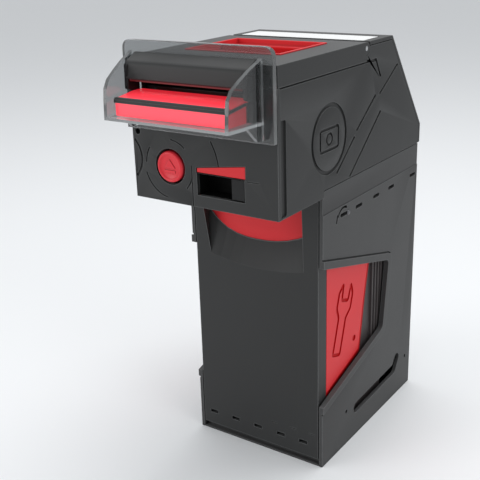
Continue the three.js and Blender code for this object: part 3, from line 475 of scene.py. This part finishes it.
def metal(name, colour, roughness, scratch):
    """A Principled metal: stretched noise makes the drawn or turned lines in roughness and height."""
    material = bpy.data.materials.new(name)
    material.use_nodes = True
    nodes, links = material.node_tree.nodes, material.node_tree.links
    shader = nodes["Principled BSDF"]
    shader.inputs["Metallic"].default_value = 1.0
    place, stretch = nodes.new("ShaderNodeTexCoord"), nodes.new("ShaderNodeMapping")
    stretch.inputs["Scale"].default_value = scratch
    lines = nodes.new("ShaderNodeTexNoise")
    lines.inputs["Scale"].default_value = 60.0
    lines.inputs["Detail"].default_value = 6.0
    links.new(place.outputs["Object"], stretch.inputs["Vector"])
    links.new(stretch.outputs["Vector"], lines.inputs["Vector"])
    worn = nodes.new("ShaderNodeMapRange")
    worn.inputs["To Min"].default_value = roughness - 0.08
    worn.inputs["To Max"].default_value = roughness + 0.12
    links.new(lines.outputs["Fac"], worn.inputs["Value"])
    links.new(worn.outputs["Result"], shader.inputs["Roughness"])
    shade = nodes.new("ShaderNodeMix")
    shade.data_type = "RGBA"
    shade.inputs["A"].default_value = (*colour, 1)
    shade.inputs["B"].default_value = (*[c * 0.72 for c in colour], 1)
    links.new(lines.outputs["Fac"], shade.inputs["Factor"])
    links.new(shade.outputs["Result"], shader.inputs["Base Color"])
    bump = nodes.new("ShaderNodeBump")
    bump.inputs["Strength"].default_value = 0.15
    bump.inputs["Distance"].default_value = 0.00008
    links.new(lines.outputs["Fac"], bump.inputs["Height"])
    links.new(bump.outputs["Normal"], shader.inputs["Normal"])
    return material


zinc_steel = metal("zinc_steel", (0.60, 0.61, 0.62), 0.32, (1, 30, 1))
blued_steel = metal("blued_steel", (0.16, 0.16, 0.17), 0.38, (30, 1, 1))


def cross_screw(name, axis, centre, face, outward, radius=2.4):
    """A pan-head screw: a turned dome with a cross recess of two crossed slots."""
    reach = radius * np.array([0.0, 1.0, 1.0, 1.0, 0.7, 0.0])
    rise = outward * np.array([-0.6, -0.6, 0.0, 0.35, 0.75, 0.95])
    head = turned_part(name, axis, centre, np.stack([reach, face + rise], 1), sides=28)
    u, v = centre
    arms = [bar(u - radius * 0.62, v - 0.28, u + radius * 0.62, v + 0.28),
            bar(u - 0.28, v - radius * 0.62, u + 0.28, v + radius * 0.62)]
    low, high = sorted([face + outward * 0.25, face + outward * 2])
    carve(head, [slab("arm", axis, arm, low, high) for arm in arms])
    smooth(head, 30)
    return head


for side, sign in [("left", -1), ("right", 1)]:
    dome = [[0.0, 0.0], [1.7, 0.0], [1.7, 0.25], [1.3, 0.62], [0.0, 0.8]]
    dome = [[r, sign * (side_face - 0.05 + h)] for r, h in dome]
    rivet = turned_part(f"{side}_rivet", "x", (front + 33, 173.8), dome, sides=24)
    smooth(rivet, 50)
    fit(rivet, "chassis", "steel", blued_steel)
for number, (x, y) in enumerate([(-38, front + 12), (38, front + 12), (-38, back - 18), (38, back - 18)]):
    screw = cross_screw(f"floor_screw_{number + 1}", "z", (x, y), 1.45, -1)
    fit(screw, "chassis", "steel", blued_steel)

# ------------------------------------------------------------------------------------------------
# Cashbox runners and the stacker behind the cashbox: bright steel rails, a black frame that
# carries the motor, and a plate that a lead screw pushes forward to press notes into the box.
dark_plastic = plastic("dark_plastic", (0.009, 0.009, 0.0095), (0.013, 0.013, 0.0135), 0.45, grain=0.15,
                       specular=0.2, edge=(0.05, 0.05, 0.052))
for side in ("left", "right"):
    finish_node(f"{side}_rail", zinc_steel)
moulding("stacker_bulkhead", "stacker_frame", "chassis", "dark_plastic", dark_plastic, 0.3)


def thread(name, centre, core, crest, pitch, low, high, sides=36):
    """A screw along Y: radius is core plus a rounded ridge whose phase turns once each pitch,
    so radius = core + (crest - core) * (0.5 + 0.5 cos(2 pi y / pitch - angle)), faded at the ends."""
    y = np.linspace(low, high, 121)[:, None]
    angle = np.linspace(0, 2 * np.pi, sides, endpoint=False)[None, :]
    ridge = 0.5 + 0.5 * np.cos(2 * np.pi * y / pitch - angle)
    fade = np.clip((y - low) / 1.0, 0, 1) * np.clip((high - y) / 1.0, 0, 1)
    radius = core + (crest - core) * ridge * fade
    return skin(name, lay("y", centre[0] + radius * np.cos(angle),
                          centre[1] + radius * np.sin(angle), y))


low, high = span("stacker_screw")
push_line = ((low[0] + high[0]) / 2, (low[2] + high[2]) / 2)
lead_screw = thread("lead_screw", push_line, 2.2, high[0], 4.0, low[1], high[1])
smooth(lead_screw, 60)
fit(lead_screw, "stacker_screw", "steel", zinc_steel, "stacker_screw")

pusher = shell_of("stacker_pusher", "stacker_plate")
low, high = span("stacker_plate")
ribs = [slab("rib", "y", bar(x - 0.8, low[2] + 5, x + 0.8, high[2] - 5), low[1] + 2.9, low[1] + 5.1)
        for x in (-22, -12, 12, 22)]
carve(pusher, ribs, "UNION")
ease(pusher, 0.3)
fit(pusher, "stacker_plate", "dark_plastic", dark_plastic, "stacker_plate")

low, high = span("stacker_motor")
start, end, wide = low[1], high[1], high[0]
can = [[0, start], [wide - 1.2, start], [wide, start + 1.1], [wide, end - 4.1], [wide - 0.8, end - 3.1],
       [12, end - 3.1], [12, end - 1.3], [4, end - 1.3], [4, end], [0, end]]
motor = turned_part("stacker_motor_can", "y", push_line, can, sides=56)
smooth(motor, 35)
fit(motor, "chassis", "steel", zinc_steel, "stacker_motor")

# ------------------------------------------------------------------------------------------------
# Cashbox: a black front moulding with a finger scoop, a black shell with ribbed sides, and red
# side panels with bevelled edges, engraved with a spanner and a screw head.
casing = plastic("casing", (0.021, 0.0215, 0.0215), (0.026, 0.0265, 0.0265), 0.50, dust=0.2)
box_front = shell_of("cashbox_front_moulding", "cashbox_front")
marks = [slab("mark", "y", bar(x - 2.2, 23.2, x + 2.2, 24.0), front - 1, front + 0.35)
         for x in (13.0, 28.0, 43.0)]
carve(box_front, marks)
ease(box_front, 0.5)
fit(box_front, "cashbox", "casing", casing, "cashbox_front")

box_grey = plastic("box_grey", (0.050, 0.043, 0.043), (0.062, 0.053, 0.053), 0.5, grain=0.15, dust=0.1,
                   crevice_shade=0.5)
box_shell = shell_of("cashbox_body", "cashbox_shell")
shell_half, box_back = span("cashbox_shell")[1][:2]
rib_pitch, rib_width, rib_rise = 4.6, 2.0, 2.1
for sign in (-1, 1):
    low, high = sorted([sign * (shell_half - 0.5), sign * (shell_half + rib_rise)])
    rib_starts = [box_back - 3.0 - rib_pitch * i for i in range(5)]
    carve(box_shell, [slab("rib", "x", bar(y, 54.0, y + rib_width, 127.0), low, high) for y in rib_starts],
          "UNION")
ease(box_shell, 0.35)
fit(box_shell, "cashbox", "dark_plastic", box_grey, "cashbox_shell")

red_plastic = plastic("red_plastic", (0.60, 0.026, 0.032), (0.66, 0.034, 0.040), 0.42, grain=0.08,
                      specular=0.18, dust=0.05, edge=(0.50, 0.010, 0.014), edge_highlight=0.8, crevice_shade=0.5)
# deep_red: a darker red, laid as painted shade on the cashbox panels' bevels and engraving; the thumb latch
# and the bezel clips use it as well
deep_red = plastic("deep_red", (0.42, 0.004, 0.006), (0.46, 0.006, 0.008), 0.5, grain=0.05, dust=0.0,
                   specular=0.06, edge=(0.46, 0.01, 0.014), crevice_shade=0.1)
low, high = span("cashbox_right_panel")
panel_in, panel_out, panel_from = low[0], high[0], low[1]
panel_edge = np.array([[panel_from, 45.4], [box_back - 38, 60.4], [box_back - 31, 99.4],
                       [box_back - 24.8, 127.1], [panel_from, 147.6]])
chamfer = np.array([5.6, 5.6, 5.6, 2.0, 0.25])  # on the edge that leaves each corner


def tool_marks(sign):
    """Engraving cutters for a panel: an open-jawed spanner drawn as an outline of one stroke
    width, leaning back, and a screw head beside its shaft. Points (across, along) its length
    go to foot + across * side + along * length."""
    deep = sign * (panel_out - 0.7)
    past = sign * (panel_out + 1)
    lean_back = np.radians(72)
    length = np.array([np.cos(lean_back), np.sin(lean_back)])
    side = np.array([-length[1], length[0]])
    foot = np.array([front + 24.5, 74.0])
    spanner = np.array([[5.2, 0], [5.2, 26], [10.0, 32], [10.0, 43], [5.6, 49], [4.4, 38],
                        [-4.4, 38], [-5.6, 49], [-10.0, 43], [-10.0, 32], [-5.2, 26], [-5.2, 0]])
    line = rounded(foot + spanner[:, :1] * side + spanner[:, 1:] * length, 1.6, 4)
    yield groove("spanner", "x", line, 2.4, deep, past, closed=True)
    yield slab("screw_head", "x", arc(front + 50.5, 76.0, 2.2, 0, 345, 24), deep, past)


for side, sign in [("left", -1), ("right", 1)]:
    depths = sign * np.array([panel_in, panel_out - 1.6, panel_out])
    plain = rounded(panel_edge, 2.0)
    top = rounded(inset(panel_edge, chamfer), 1.2)
    rows = np.stack([plain, plain, top])
    panel = skin(f"{side}_red_panel", lay("x", rows[..., 0], rows[..., 1], depths[:, None]))
    carve(panel, list(tool_marks(sign)))
    smooth(panel, 8)
    fit(panel, "cashbox", "red_plastic", red_plastic, f"cashbox_{side}_panel")
    # the bevel and the engraving take a deeper red than the grained face, as painted shade
    panel.data.materials.append(deep_red)
    centres = np.zeros(3 * len(panel.data.polygons))
    panel.data.polygons.foreach_get("center", centres)
    sunk = np.abs(centres.reshape(-1, 3)[:, 0]) < (panel_out - 0.05) * MM
    panel.data.polygons.foreach_set("material_index", sunk.astype(np.int32))

# ------------------------------------------------------------------------------------------------
# Cashbox handle: a red flap, bowed like the front of a drawer pull, that hangs from a pin.
low, high = span("cashbox_handle")
pull_face = low[1]


def bowed_plate(name, x0, x1, z0, z1, y_face, bow, thickness, cells=24):
    """A plate whose front stands forward as bow * (1 - s^2), where s runs from -1 to 1 across,
    and eases back towards its lower edge as the square of the distance below a third of its height."""
    s, t = np.meshgrid(np.linspace(-1, 1, 2 * cells + 1), np.linspace(0, 1, cells + 1), indexing="ij")
    x = x0 + (x1 - x0) * (s + 1) / 2
    z = z0 + (z1 - z0) * t
    y = y_face - bow * (1 - s ** 2) + 2.2 * np.clip(0.33 - t, 0, None) ** 2 / 0.33 ** 2
    face = np.stack([x, y, z], -1)
    rear = np.stack([x, np.maximum(y + thickness, y_face + thickness * 0.9), z], -1)
    return skin(name, np.concatenate([face, rear[:, ::-1]], axis=1))


pull = bowed_plate("cashbox_pull", low[0] + 1.6, high[0] - 1.6, low[2] + 0.1, high[2] - 0.1, pull_face,
                   2.6, 2.4)
pin_from, pin_to = low[0] + 0.3, high[0] - 0.2
pin = turned_part("pin", "x", (pull_face + 3.5, high[2] - 3.0),
                  [[0, pin_from], [1.5, pin_from], [1.5, pin_to], [0, pin_to]], 20)
carve(pull, [pin], "UNION")
smooth(pull, 40)
fit(pull, "cashbox_handle", "red_plastic", red_plastic, "cashbox_handle")

# ------------------------------------------------------------------------------------------------
# Pressure plate and its spring: a natural acetal plate with ribs, pushed back by a conical
# spring, which holds the stack of notes against the window.
acetal = plastic("acetal", (0.74, 0.73, 0.68), (0.80, 0.79, 0.75), 0.36, grain=0.05, dust=0.0,
                 edge=(0.85, 0.85, 0.82), crevice_shade=0.4)
plate = shell_of("pressure_plate", "note_pressure_plate")
low, high = span("note_pressure_plate")
carve(plate, [slab("rib", "y", bar(x - 0.7, low[2] + 8, x + 0.7, high[2] - 8.5), low[1] - 1.3, low[1] + 0.4)
              for x in (-34, -22, 22, 34)], "UNION")
ease(plate, 0.3)
fit(plate, "pressure_plate", "acetal", acetal, "note_pressure_plate")


def spring(name, centre, radius, wire, low, high, turns, steps=None, sides=8):
    """A round wire wound about a line along Y. The winding angle is 2 pi turns t, the place along
    Y is closed up at both ends (t smoothed for the first and last turn), and the wire's circle
    stands in the plane of the radius and Y."""
    steps = steps or turns * 28
    t = np.linspace(0, 1, steps + 1)[:, None]
    lead = np.clip((t - 1 / turns * 0.9) / (1 - 2 / turns * 0.9), 0, 1)
    centre_y = low + wire + (high - low - 2 * wire) * lead
    angle = 2 * np.pi * turns * t
    ring = np.linspace(0, 2 * np.pi, sides, endpoint=False)[None, :]
    r = radius + wire * np.cos(ring)
    y = centre_y + wire * np.sin(ring)
    return skin(name, lay("y", centre[0] + r * np.cos(angle), centre[1] + r * np.sin(angle), y))


note_spring = spring("pressure_spring", (0, 96.25), 12.0, 0.8, -46.8, 20.0, 7)
smooth(note_spring, 60)
fit(note_spring, "cashbox", "steel", zinc_steel, "note_pressure_spring")
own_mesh(note_spring)

# ------------------------------------------------------------------------------------------------
# Head covers: two flat sides with engraved lines. Each carries a ring with a plain banknote
# pictogram, four slanting lines and a hook behind it, and a tall shallow groove at its front.
cover_face = span("head_right_cover")[1][0]
for side, sign in [("left", -1), ("right", 1)]:
    node = f"head_{side}_cover"
    cover = shell_of(f"{side}_head_cover", node)
    deep, past = sign * (cover_face - 1.1), sign * (cover_face + 1)
    cy, cz = front + 5.6, 227.7
    ring = arc(cy, cz, 20.5, 0, 352.5, 48)
    note = rounded(bar(cy - 11, cz - 6.5, cy + 11, cz + 6.5), 1.6, 4)
    stripes = [[(14.9, 204.1), (38.1, 222.4)], [(40.7, 225.7), (66.6, 244.0)],
               [(32.2, 197.9), (74.6, 232.2)], [(72.4, 243.7), (98.8, 259.4)]]
    cutters = [groove("ring", "x", ring, 2.6, deep, past, closed=True),
               groove("note", "x", note, 1.8, deep, past, closed=True),
               groove("disc", "x", arc(cy, cz, 3.4, 0, 342, 20), 1.4, deep, past, closed=True)]
    cutters += [groove("stripe", "x", [(front + a, b), (front + c, d)], 2.0, deep, past)
                for (a, b), (c, d) in stripes]
    cutters.append(slab("finger", "x", rounded(bar(front - 50, 193.4, front - 43.5, 249), 2.0),
                        sign * (cover_face - 1.2), past))
    hook = [(front + 57.5, 266.4), (front + 66, 266.4), (front + 73.3, 254.6)]
    cutters.append(groove("hook", "x", hook, 1.9, deep, past))
    cutters.append(slab("lid_line", "x", bar(front - 50, 266.0, front + 57, 268.0), deep, past))
    carve(cover, cutters)
    ease(cover, 0.3, degrees=50)
    fit(cover, "chassis", "casing", casing, node)

# ------------------------------------------------------------------------------------------------
# Front fascia: the release button's dish and ring marks, the service port's window, and
# engraved seams.
fascia = shell_of("front_fascia", "head_fascia")
face = span("head_fascia")[0][1]
low, high = span("release_button")
button = ((low[0] + high[0]) / 2, (low[2] + high[2]) / 2)
button_radius = (high[0] - low[0]) / 2
button_face, stem_end = low[1], high[1]
into, before = face + 0.6, face - 1
dish_radius = button_radius + 1.5
dish = turned_part("dish", "y", button, [[0, before], [dish_radius, before], [dish_radius, face + 1.2],
                                         [button_radius + 0.3, face + 1.9], [0, face + 1.9]], sides=72)
cutters = [dish]
for start, end, radius in [(48, 86, 16.7), (145, 178, 18.4), (196, 262, 19.6), (-45, -15, 16.7),
                           (6, 32, 35.8)]:
    cutters.append(groove("ring", "y", arc(*button, radius, start, end), 0.9, into, before))
cutters.append(groove("left_arc", "y", arc(-61.5, 217.5, 15.8, -47, 47), 1.6, into, before))
cutters.append(groove("seam", "y", [(-8, 192.0), (-8, 217.5)], 0.7, into, before))
cutters.append(groove("line", "y", [(31.2, 213), (39.5, 213)], 0.6, into, before))
carve(fascia, cutters)
ease(fascia, 0.6, degrees=50)
fit(fascia, "chassis", "casing", casing, "head_fascia")

# ------------------------------------------------------------------------------------------------
# Release button: a red push button with a raised lip and an embossed eject mark, on a spring.


def disc_grid(radius_steps, sides):
    """Radius and angle of a polar grid, as arrays."""
    return np.meshgrid(radius_steps, np.linspace(0, 2 * np.pi, sides, endpoint=False), indexing="ij")


inwards = np.array([button_radius, 7.0, 4.0, 2.6, 2.2, 1.7, 1.2, 0.6, 0.15, 0.0, 0.0])  # from the rim
sunk = np.array([0.75, 0.75, 0.75, 0.75, 0.45, 0.05, 0.0, 0.25, 0.9, 1.6, 8.0])  # behind the lip
radius, turn = disc_grid(button_radius - inwards, 72)
push = skin("push_button", lay("y", button[0] + radius * np.cos(turn), button[1] + radius * np.sin(turn),
                               button_face + sunk[:, None]))
eject = [slab("mark", "y", shape, button_face + 0.35, button_face + 2) for shape in (
    [[button[0] - 4, button[1] - 0.6], [button[0] + 4, button[1] - 0.6], [button[0], button[1] + 4.6]],
    bar(button[0] - 4, button[1] - 3.6, button[0] + 4, button[1] - 2.0))]
carve(push, eject, "UNION")
stem_profile = [[0, button_face + 6], [4, button_face + 6], [4, stem_end], [0, stem_end]]
stem = turned_part("stem", "y", button, stem_profile, 32)
carve(push, [stem], "UNION")
ease(push, 0.12, degrees=40)
button_red = plastic("button_red", (0.66, 0.022, 0.034), (0.70, 0.028, 0.042), 0.30, grain=0.03, dust=0.0,
                     edge=(0.85, 0.09, 0.11), edge_highlight=0.7, crevice_shade=0.6)
fit(push, "release_button", "red_plastic", button_red, "release_button")
push_spring = spring("push_spring", button, 6.2, 0.45, -115.6, -103.6, 4)
smooth(push_spring, 60)
fit(push_spring, "chassis", "steel", zinc_steel, "button_spring")
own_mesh(push_spring)

# ------------------------------------------------------------------------------------------------
# Service port: a black well behind the fascia window, coloured darker than the other black plastics
# as painted shade inside it, with a black connector block on its right, under a red wedge that
# shows the port is fitted.
# near black, darker than the other black plastics: painted shade in the well
well_black_and_shade = plastic("well_black_and_shade", (0.002, 0.002, 0.002), (0.003, 0.003, 0.003), 0.7, grain=0.1, dust=0.0,
                     specular=0.08, edge=(0.004, 0.004, 0.004))
moulding("service_well", "port_housing", "chassis", "dark_plastic", well_black_and_shade, 0.3)
moulding("service_connector", "port_block", "chassis", "chassis_black", dark_plastic, 0.4)
moulding("port_flag", "port_wedge", "chassis", "red_plastic", red_plastic, 0.3)

# ------------------------------------------------------------------------------------------------
# Back cover, floor, rear socket and label: the cover is one bent sheet down the sloped back,
# with a blank white label let into its top and the host connector at its foot.
moulding("back_cover", "head_back_cover", "chassis", "casing", casing, 0.6, segments=3)
for number, x in enumerate((-44, 44)):
    screw = cross_screw(f"back_screw_{number + 1}", "y", (x, 204.0), back - 0.9, 1, radius=2.2)
    fit(screw, "chassis", "steel", blued_steel)

moulding("head_floor_plate", "head_floor", "chassis", "dark_plastic", dark_plastic, 0.3)
moulding("host_socket", "interface_socket", "chassis", "dark_plastic", dark_plastic, 0.25)
pin_from = span("interface_socket")[0][1] + 2.0
for row in range(2):
    for column in range(8):
        x, z = -9.1 + 2.6 * column, 203.0 + 2.0 * row
        square = bar(x - 0.3, z - 0.3, x + 0.3, z + 0.3)
        pin = slab(f"socket_pin_{row * 8 + column + 1}", "y", square, pin_from, pin_from + 8.0)
        fit(pin, "chassis", "steel", zinc_steel)


def mottled(name, target, scale, first, second, roughness):
    """A Principled material whose target input is a mix of two shades by fine noise."""
    material = bpy.data.materials.new(name)
    material.use_nodes = True
    nodes, links = material.node_tree.nodes, material.node_tree.links
    shader = nodes["Principled BSDF"]
    place, noise, shade = (nodes.new(kind) for kind in (
        "ShaderNodeTexCoord", "ShaderNodeTexNoise", "ShaderNodeMix"))
    noise.inputs["Scale"].default_value = scale
    shade.data_type = "RGBA"
    shade.inputs["A"].default_value = (*first, 1)
    shade.inputs["B"].default_value = (*second, 1)
    links.new(place.outputs["Object"], noise.inputs["Vector"])
    links.new(noise.outputs["Fac"], shade.inputs["Factor"])
    links.new(shade.outputs["Result"], shader.inputs[target])
    shader.inputs["Roughness"].default_value = roughness
    return material


label_white = mottled("label_white", "Base Color", 400.0, (0.86, 0.87, 0.87), (0.93, 0.93, 0.92), 0.22)
moulding("blank_top_label", "blank_label", "chassis", "label", label_white, 0.15)

# ------------------------------------------------------------------------------------------------
# Lid: a shallow tray hinged at its rear edge, with a let-in red latch cup and its thumb latch.
moulding("lid_shell", "top_lid", "lid", "casing", casing, 0.55, segments=3, degrees=40)
moulding("thumb_cup", "latch_cup", "lid", "red_plastic", red_plastic, 0.5, segments=3)
moulding("thumb_latch", "top_latch", "top_latch", "red_plastic", deep_red, 0.3)

# ------------------------------------------------------------------------------------------------
# Note path: upper and lower black guides with ribs along the note's travel, steel brackets,
# and rubber-tyred drive rollers turned by a toothed belt, a gear and a small motor.
for level, body in [("lower", "chassis"), ("rear", "chassis"), ("upper", "lid")]:
    moulding(f"{level}_path", f"{level}_note_guide", body, "dark_plastic", dark_plastic, 0.2, degrees=50)
rubber = plastic("rubber", (0.014, 0.014, 0.014), (0.02, 0.02, 0.02), 0.75, grain=0.4, dust=0.0,
                 specular=0.2, edge=(0.03, 0.03, 0.03))


def tyre(name, u, v, bore, radius, x0, x1):
    """A roller's tyre: a tube with rounded shoulders and three shallow grooves, so that
    radius(x) = outer - 0.35 where the distance to a groove is under half a millimetre."""
    x = np.linspace(x0, x1, 65)
    thirds = x0 + (x1 - x0) * np.array([0.25, 0.5, 0.75])
    near = np.abs(x[:, None] - thirds[None, :]).min(1)
    r = radius - 0.35 * (near < 0.5)
    shoulder = np.minimum(x - x0, x1 - x)
    r = r - 0.6 * np.clip(1 - shoulder / 0.8, 0, 1) ** 2
    profile = np.vstack([[bore, x0], np.stack([r, x], 1), [bore, x1]])
    return turned_part(name, "x", (u, v), profile, sides=40)


for end in ("front", "rear"):
    for side in ("left", "right"):
        low, high = span(f"{end}_{side}_roller")
        x, y, z = (low + high) / 2
        wheel = tyre(f"{end}_{side}_tyre", y, z, 3.3, (high[1] - low[1]) / 2, low[0], high[0])
        smooth(wheel, 50)
        fit(wheel, f"{end}_drive", "rubber", rubber, f"{end}_{side}_roller")
    finish_node(f"{end}_drive_shaft", zinc_steel)
    finish_node(f"{end}_pinch_roller", rubber)
for side in ("left", "right"):
    moulding(f"{side}_bracket", f"{side}_shaft_bracket", "chassis", "steel", zinc_steel, 0.25)
moulding("idler_gear", "drive_gear", "front_drive", "acetal", acetal, 0.15, degrees=25)
moulding("pinion", "motor_pinion", "motor_pinion", "steel", zinc_steel, 0.15, degrees=25)
finish_node("drive_belt", rubber)
finish_node("lid_hinge_pin", zinc_steel)
low, high = span("drive_motor")
start, end, wide = low[0], high[0], (high[1] - low[1]) / 2
can = [[0, start], [wide - 1.4, start], [wide, start + 1.2], [wide, end - 5.8], [wide - 0.8, end - 4.6],
       [5, end - 4.6], [5, end - 0.8], [0, end - 0.8]]
drive = turned_part("drive_motor_can", "x", (low[1:] + high[1:]) / 2, can, sides=48)
smooth(drive, 35)
fit(drive, "chassis", "steel", zinc_steel, "drive_motor")

# ------------------------------------------------------------------------------------------------
# Circuit boards: the green control board over the head's floor, and the bezel's light board with
# a row of small red lamps under the tray.
board_green = plastic("board_green", (0.012, 0.085, 0.035), (0.02, 0.12, 0.05), 0.3, grain=0.02, dust=0.0,
                      specular=0.45, edge=(0.2, 0.22, 0.12), crevice_shade=0.3)
moulding("control_board_assembly", "control_board", "chassis", "circuit_board", board_green, 0.15)
finish_node("bezel_led_board", board_green)
lamp_red = mottled("lamp_red", "Emission Color", 900.0, (0.9, 0.02, 0.035), (1.0, 0.05, 0.07), 0.2)
lens = lamp_red.node_tree.nodes["Principled BSDF"]
lens.inputs["Base Color"].default_value = (0.8, 0.02, 0.03, 1)
lens.inputs["Emission Strength"].default_value = 2.0
low, high = span("bezel_led_board")
lamp_y, lamp_foot = (low[1] + high[1]) / 2, high[2] + 0.2
lamp_profile = [[0, lamp_foot], [1.6, lamp_foot], [1.6, lamp_foot + 1.3], [1.1, lamp_foot + 2.2],
                [0, lamp_foot + 2.6]]
for number in range(9):
    lamp = turned_part(f"bezel_lamp_{number + 1}", "z", (-28 + 7 * number, lamp_y), lamp_profile, 20)
    smooth(lamp, 50)
    fit(lamp, "chassis", "lit_red", lamp_red)

# ------------------------------------------------------------------------------------------------
# Bezel: a smoky clear plate and cheeks round a red lit tray under a black hood. The tray glows
# from the lamps below it; its front lip carries a thin dark line.


def clear(name, axis, tint, clearness, painted_glow_colour):
    """Smoky acrylic for a sheet whose broad faces look along axis: faint haze in the roughness, and
    a painted pale highlight, given as emission, where the surface turns away from that axis, on its cut
    edges."""
    material = bpy.data.materials.new(name)
    material.use_nodes = True
    nodes, links = material.node_tree.nodes, material.node_tree.links
    shader = nodes["Principled BSDF"]
    shader.inputs["Base Color"].default_value = (*tint, 1)
    shader.inputs["Transmission Weight"].default_value = clearness
    shader.inputs["IOR"].default_value = 1.45
    shader.inputs["Emission Strength"].default_value = 1.0
    place, haze, ramp = (nodes.new(kind) for kind in (
        "ShaderNodeTexCoord", "ShaderNodeTexNoise", "ShaderNodeMapRange"))
    haze.inputs["Scale"].default_value = 35.0
    ramp.inputs["To Min"].default_value = 0.01
    ramp.inputs["To Max"].default_value = 0.08
    links.new(place.outputs["Object"], haze.inputs["Vector"])
    links.new(haze.outputs["Fac"], ramp.inputs["Value"])
    links.new(ramp.outputs["Result"], shader.inputs["Roughness"])
    facing, split, flat, painted_edge_glow = (nodes.new(kind) for kind in (
        "ShaderNodeNewGeometry", "ShaderNodeSeparateXYZ", "ShaderNodeMath", "ShaderNodeMix"))
    flat.operation = "ABSOLUTE"
    painted_edge_glow.data_type = "RGBA"
    painted_edge_glow.inputs["A"].default_value = (*painted_glow_colour, 1)
    painted_edge_glow.inputs["B"].default_value = (0.0, 0.0, 0.0, 1)
    links.new(facing.outputs["Normal"], split.inputs["Vector"])
    links.new(split.outputs[axis], flat.inputs[0])
    links.new(flat.outputs["Value"], painted_edge_glow.inputs["Factor"])
    links.new(painted_edge_glow.outputs["Result"], shader.inputs["Emission Color"])
    return material


smoke = (0.40, 0.415, 0.42)
# the last column is the emission colour of the painted highlight on each sheet's cut edges
for name, node, axis, clearness, shade in [
        ("clear_plate", "bezel_plate", "Y", 0.93, (0.05, 0.052, 0.053)),
        ("clear_cheeks", "bezel_shell", "X", 0.97, (0.07, 0.073, 0.075))]:
    tinted = clear(name, axis, smoke, clearness, shade)
    moulding(name, node, "chassis", "clear_plastic", tinted, 0.4, segments=3, degrees=20)


def glowing(name, colour, strength, fade_from, fade_to):
    """Lit red acrylic: emission falls off along Y from fade_from to fade_to (mm)."""
    material = bpy.data.materials.new(name)
    material.use_nodes = True
    nodes, links = material.node_tree.nodes, material.node_tree.links
    shader = nodes["Principled BSDF"]
    shader.inputs["Base Color"].default_value = (*colour, 1)
    shader.inputs["Roughness"].default_value = 0.25
    shader.inputs["Emission Strength"].default_value = strength
    place, split = nodes.new("ShaderNodeTexCoord"), nodes.new("ShaderNodeSeparateXYZ")
    fall, tint = nodes.new("ShaderNodeMapRange"), nodes.new("ShaderNodeMix")
    fall.inputs["From Min"].default_value = fade_from * MM
    fall.inputs["From Max"].default_value = fade_to * MM
    tint.data_type = "RGBA"
    tint.inputs["A"].default_value = (1.0, 0.075, 0.11, 1)
    tint.inputs["B"].default_value = (0.80, 0.02, 0.035, 1)
    links.new(place.outputs["Object"], split.inputs["Vector"])
    links.new(split.outputs["Y"], fall.inputs["Value"])
    links.new(fall.outputs["Result"], tint.inputs["Factor"])
    links.new(tint.outputs["Result"], shader.inputs["Emission Color"])
    return material


shaded_red = plastic("shaded_red", (0.14, 0.006, 0.009), (0.17, 0.008, 0.011), 0.4, grain=0.0, dust=0.0,
                     edge=(0.2, 0.01, 0.012))
tray_front = span("light_tray")[0][1]
lit_red = glowing("lit_red", (0.75, 0.05, 0.07), 0.62, tray_front, tray_front + 7.5)
moulding("lit_tray", "light_tray", "chassis", "lit_red", lit_red, 0.6, segments=3, degrees=25)
lip = run_along("tray_lip", "x", [(-150.75, 256.9), (-150.75, 258.6), (-149.9, 259.6), (-148.9, 259.75)],
                [[-0.2, -38.9], [0.2, -38.9], [0.2, 38.9], [-0.2, 38.9]])
fit(lip, "chassis", "dark_plastic", casing)
for side, sign in [("left", -1), ("right", 1)]:
    low, high = sorted([sign * 38.6, sign * 39.0])
    trim = slab(f"{side}_tray_trim", "x", [[-150.9, 256.9], [-134, 258.9], [-134, 260.6], [-150.9, 258.9]],
                low, high)
    fit(trim, "chassis", "dark_plastic", casing)
    # dark red plates on the tray's sides: painted shade where the lit tray's sides fall dark
    shade = slab(f"{side}_tray_shade", "x", bar(-134.0, 249.6, -127.3, 260.4), low, high)
    fit(shade, "chassis", "red_plastic", shaded_red)

moulding("bezel_visor", "bezel_hood", "chassis", "casing", casing, 0.9, segments=4, degrees=25)
visor_trim = slab("visor_red_trim", "x", bar(-136.8, 267.0, -135.2, 267.95), -38.5, 38.5)
fit(visor_trim, "chassis", "red_plastic", shaded_red)
for side, sign in [("left", -1), ("right", 1)]:
    low, high = sorted([sign * 39.3, sign * 42.1])
    post = rounded([[-127.3, 249.3], [-127.3, 281.4], [-131.0, 279.6], [-137.0, 276.4], [-137.6, 262.4],
                    [-133.0, 260.8], [-133.0, 249.3]], 1.0)
    block = slab(f"{side}_bezel_block", "x", post, low, high)
    ease(block, 0.3)
    fit(block, "chassis", "dark_plastic", dark_plastic)
    moulding(f"{side}_red_clip", f"bezel_{side}_clip", "chassis", "red_plastic", deep_red, 0.15)
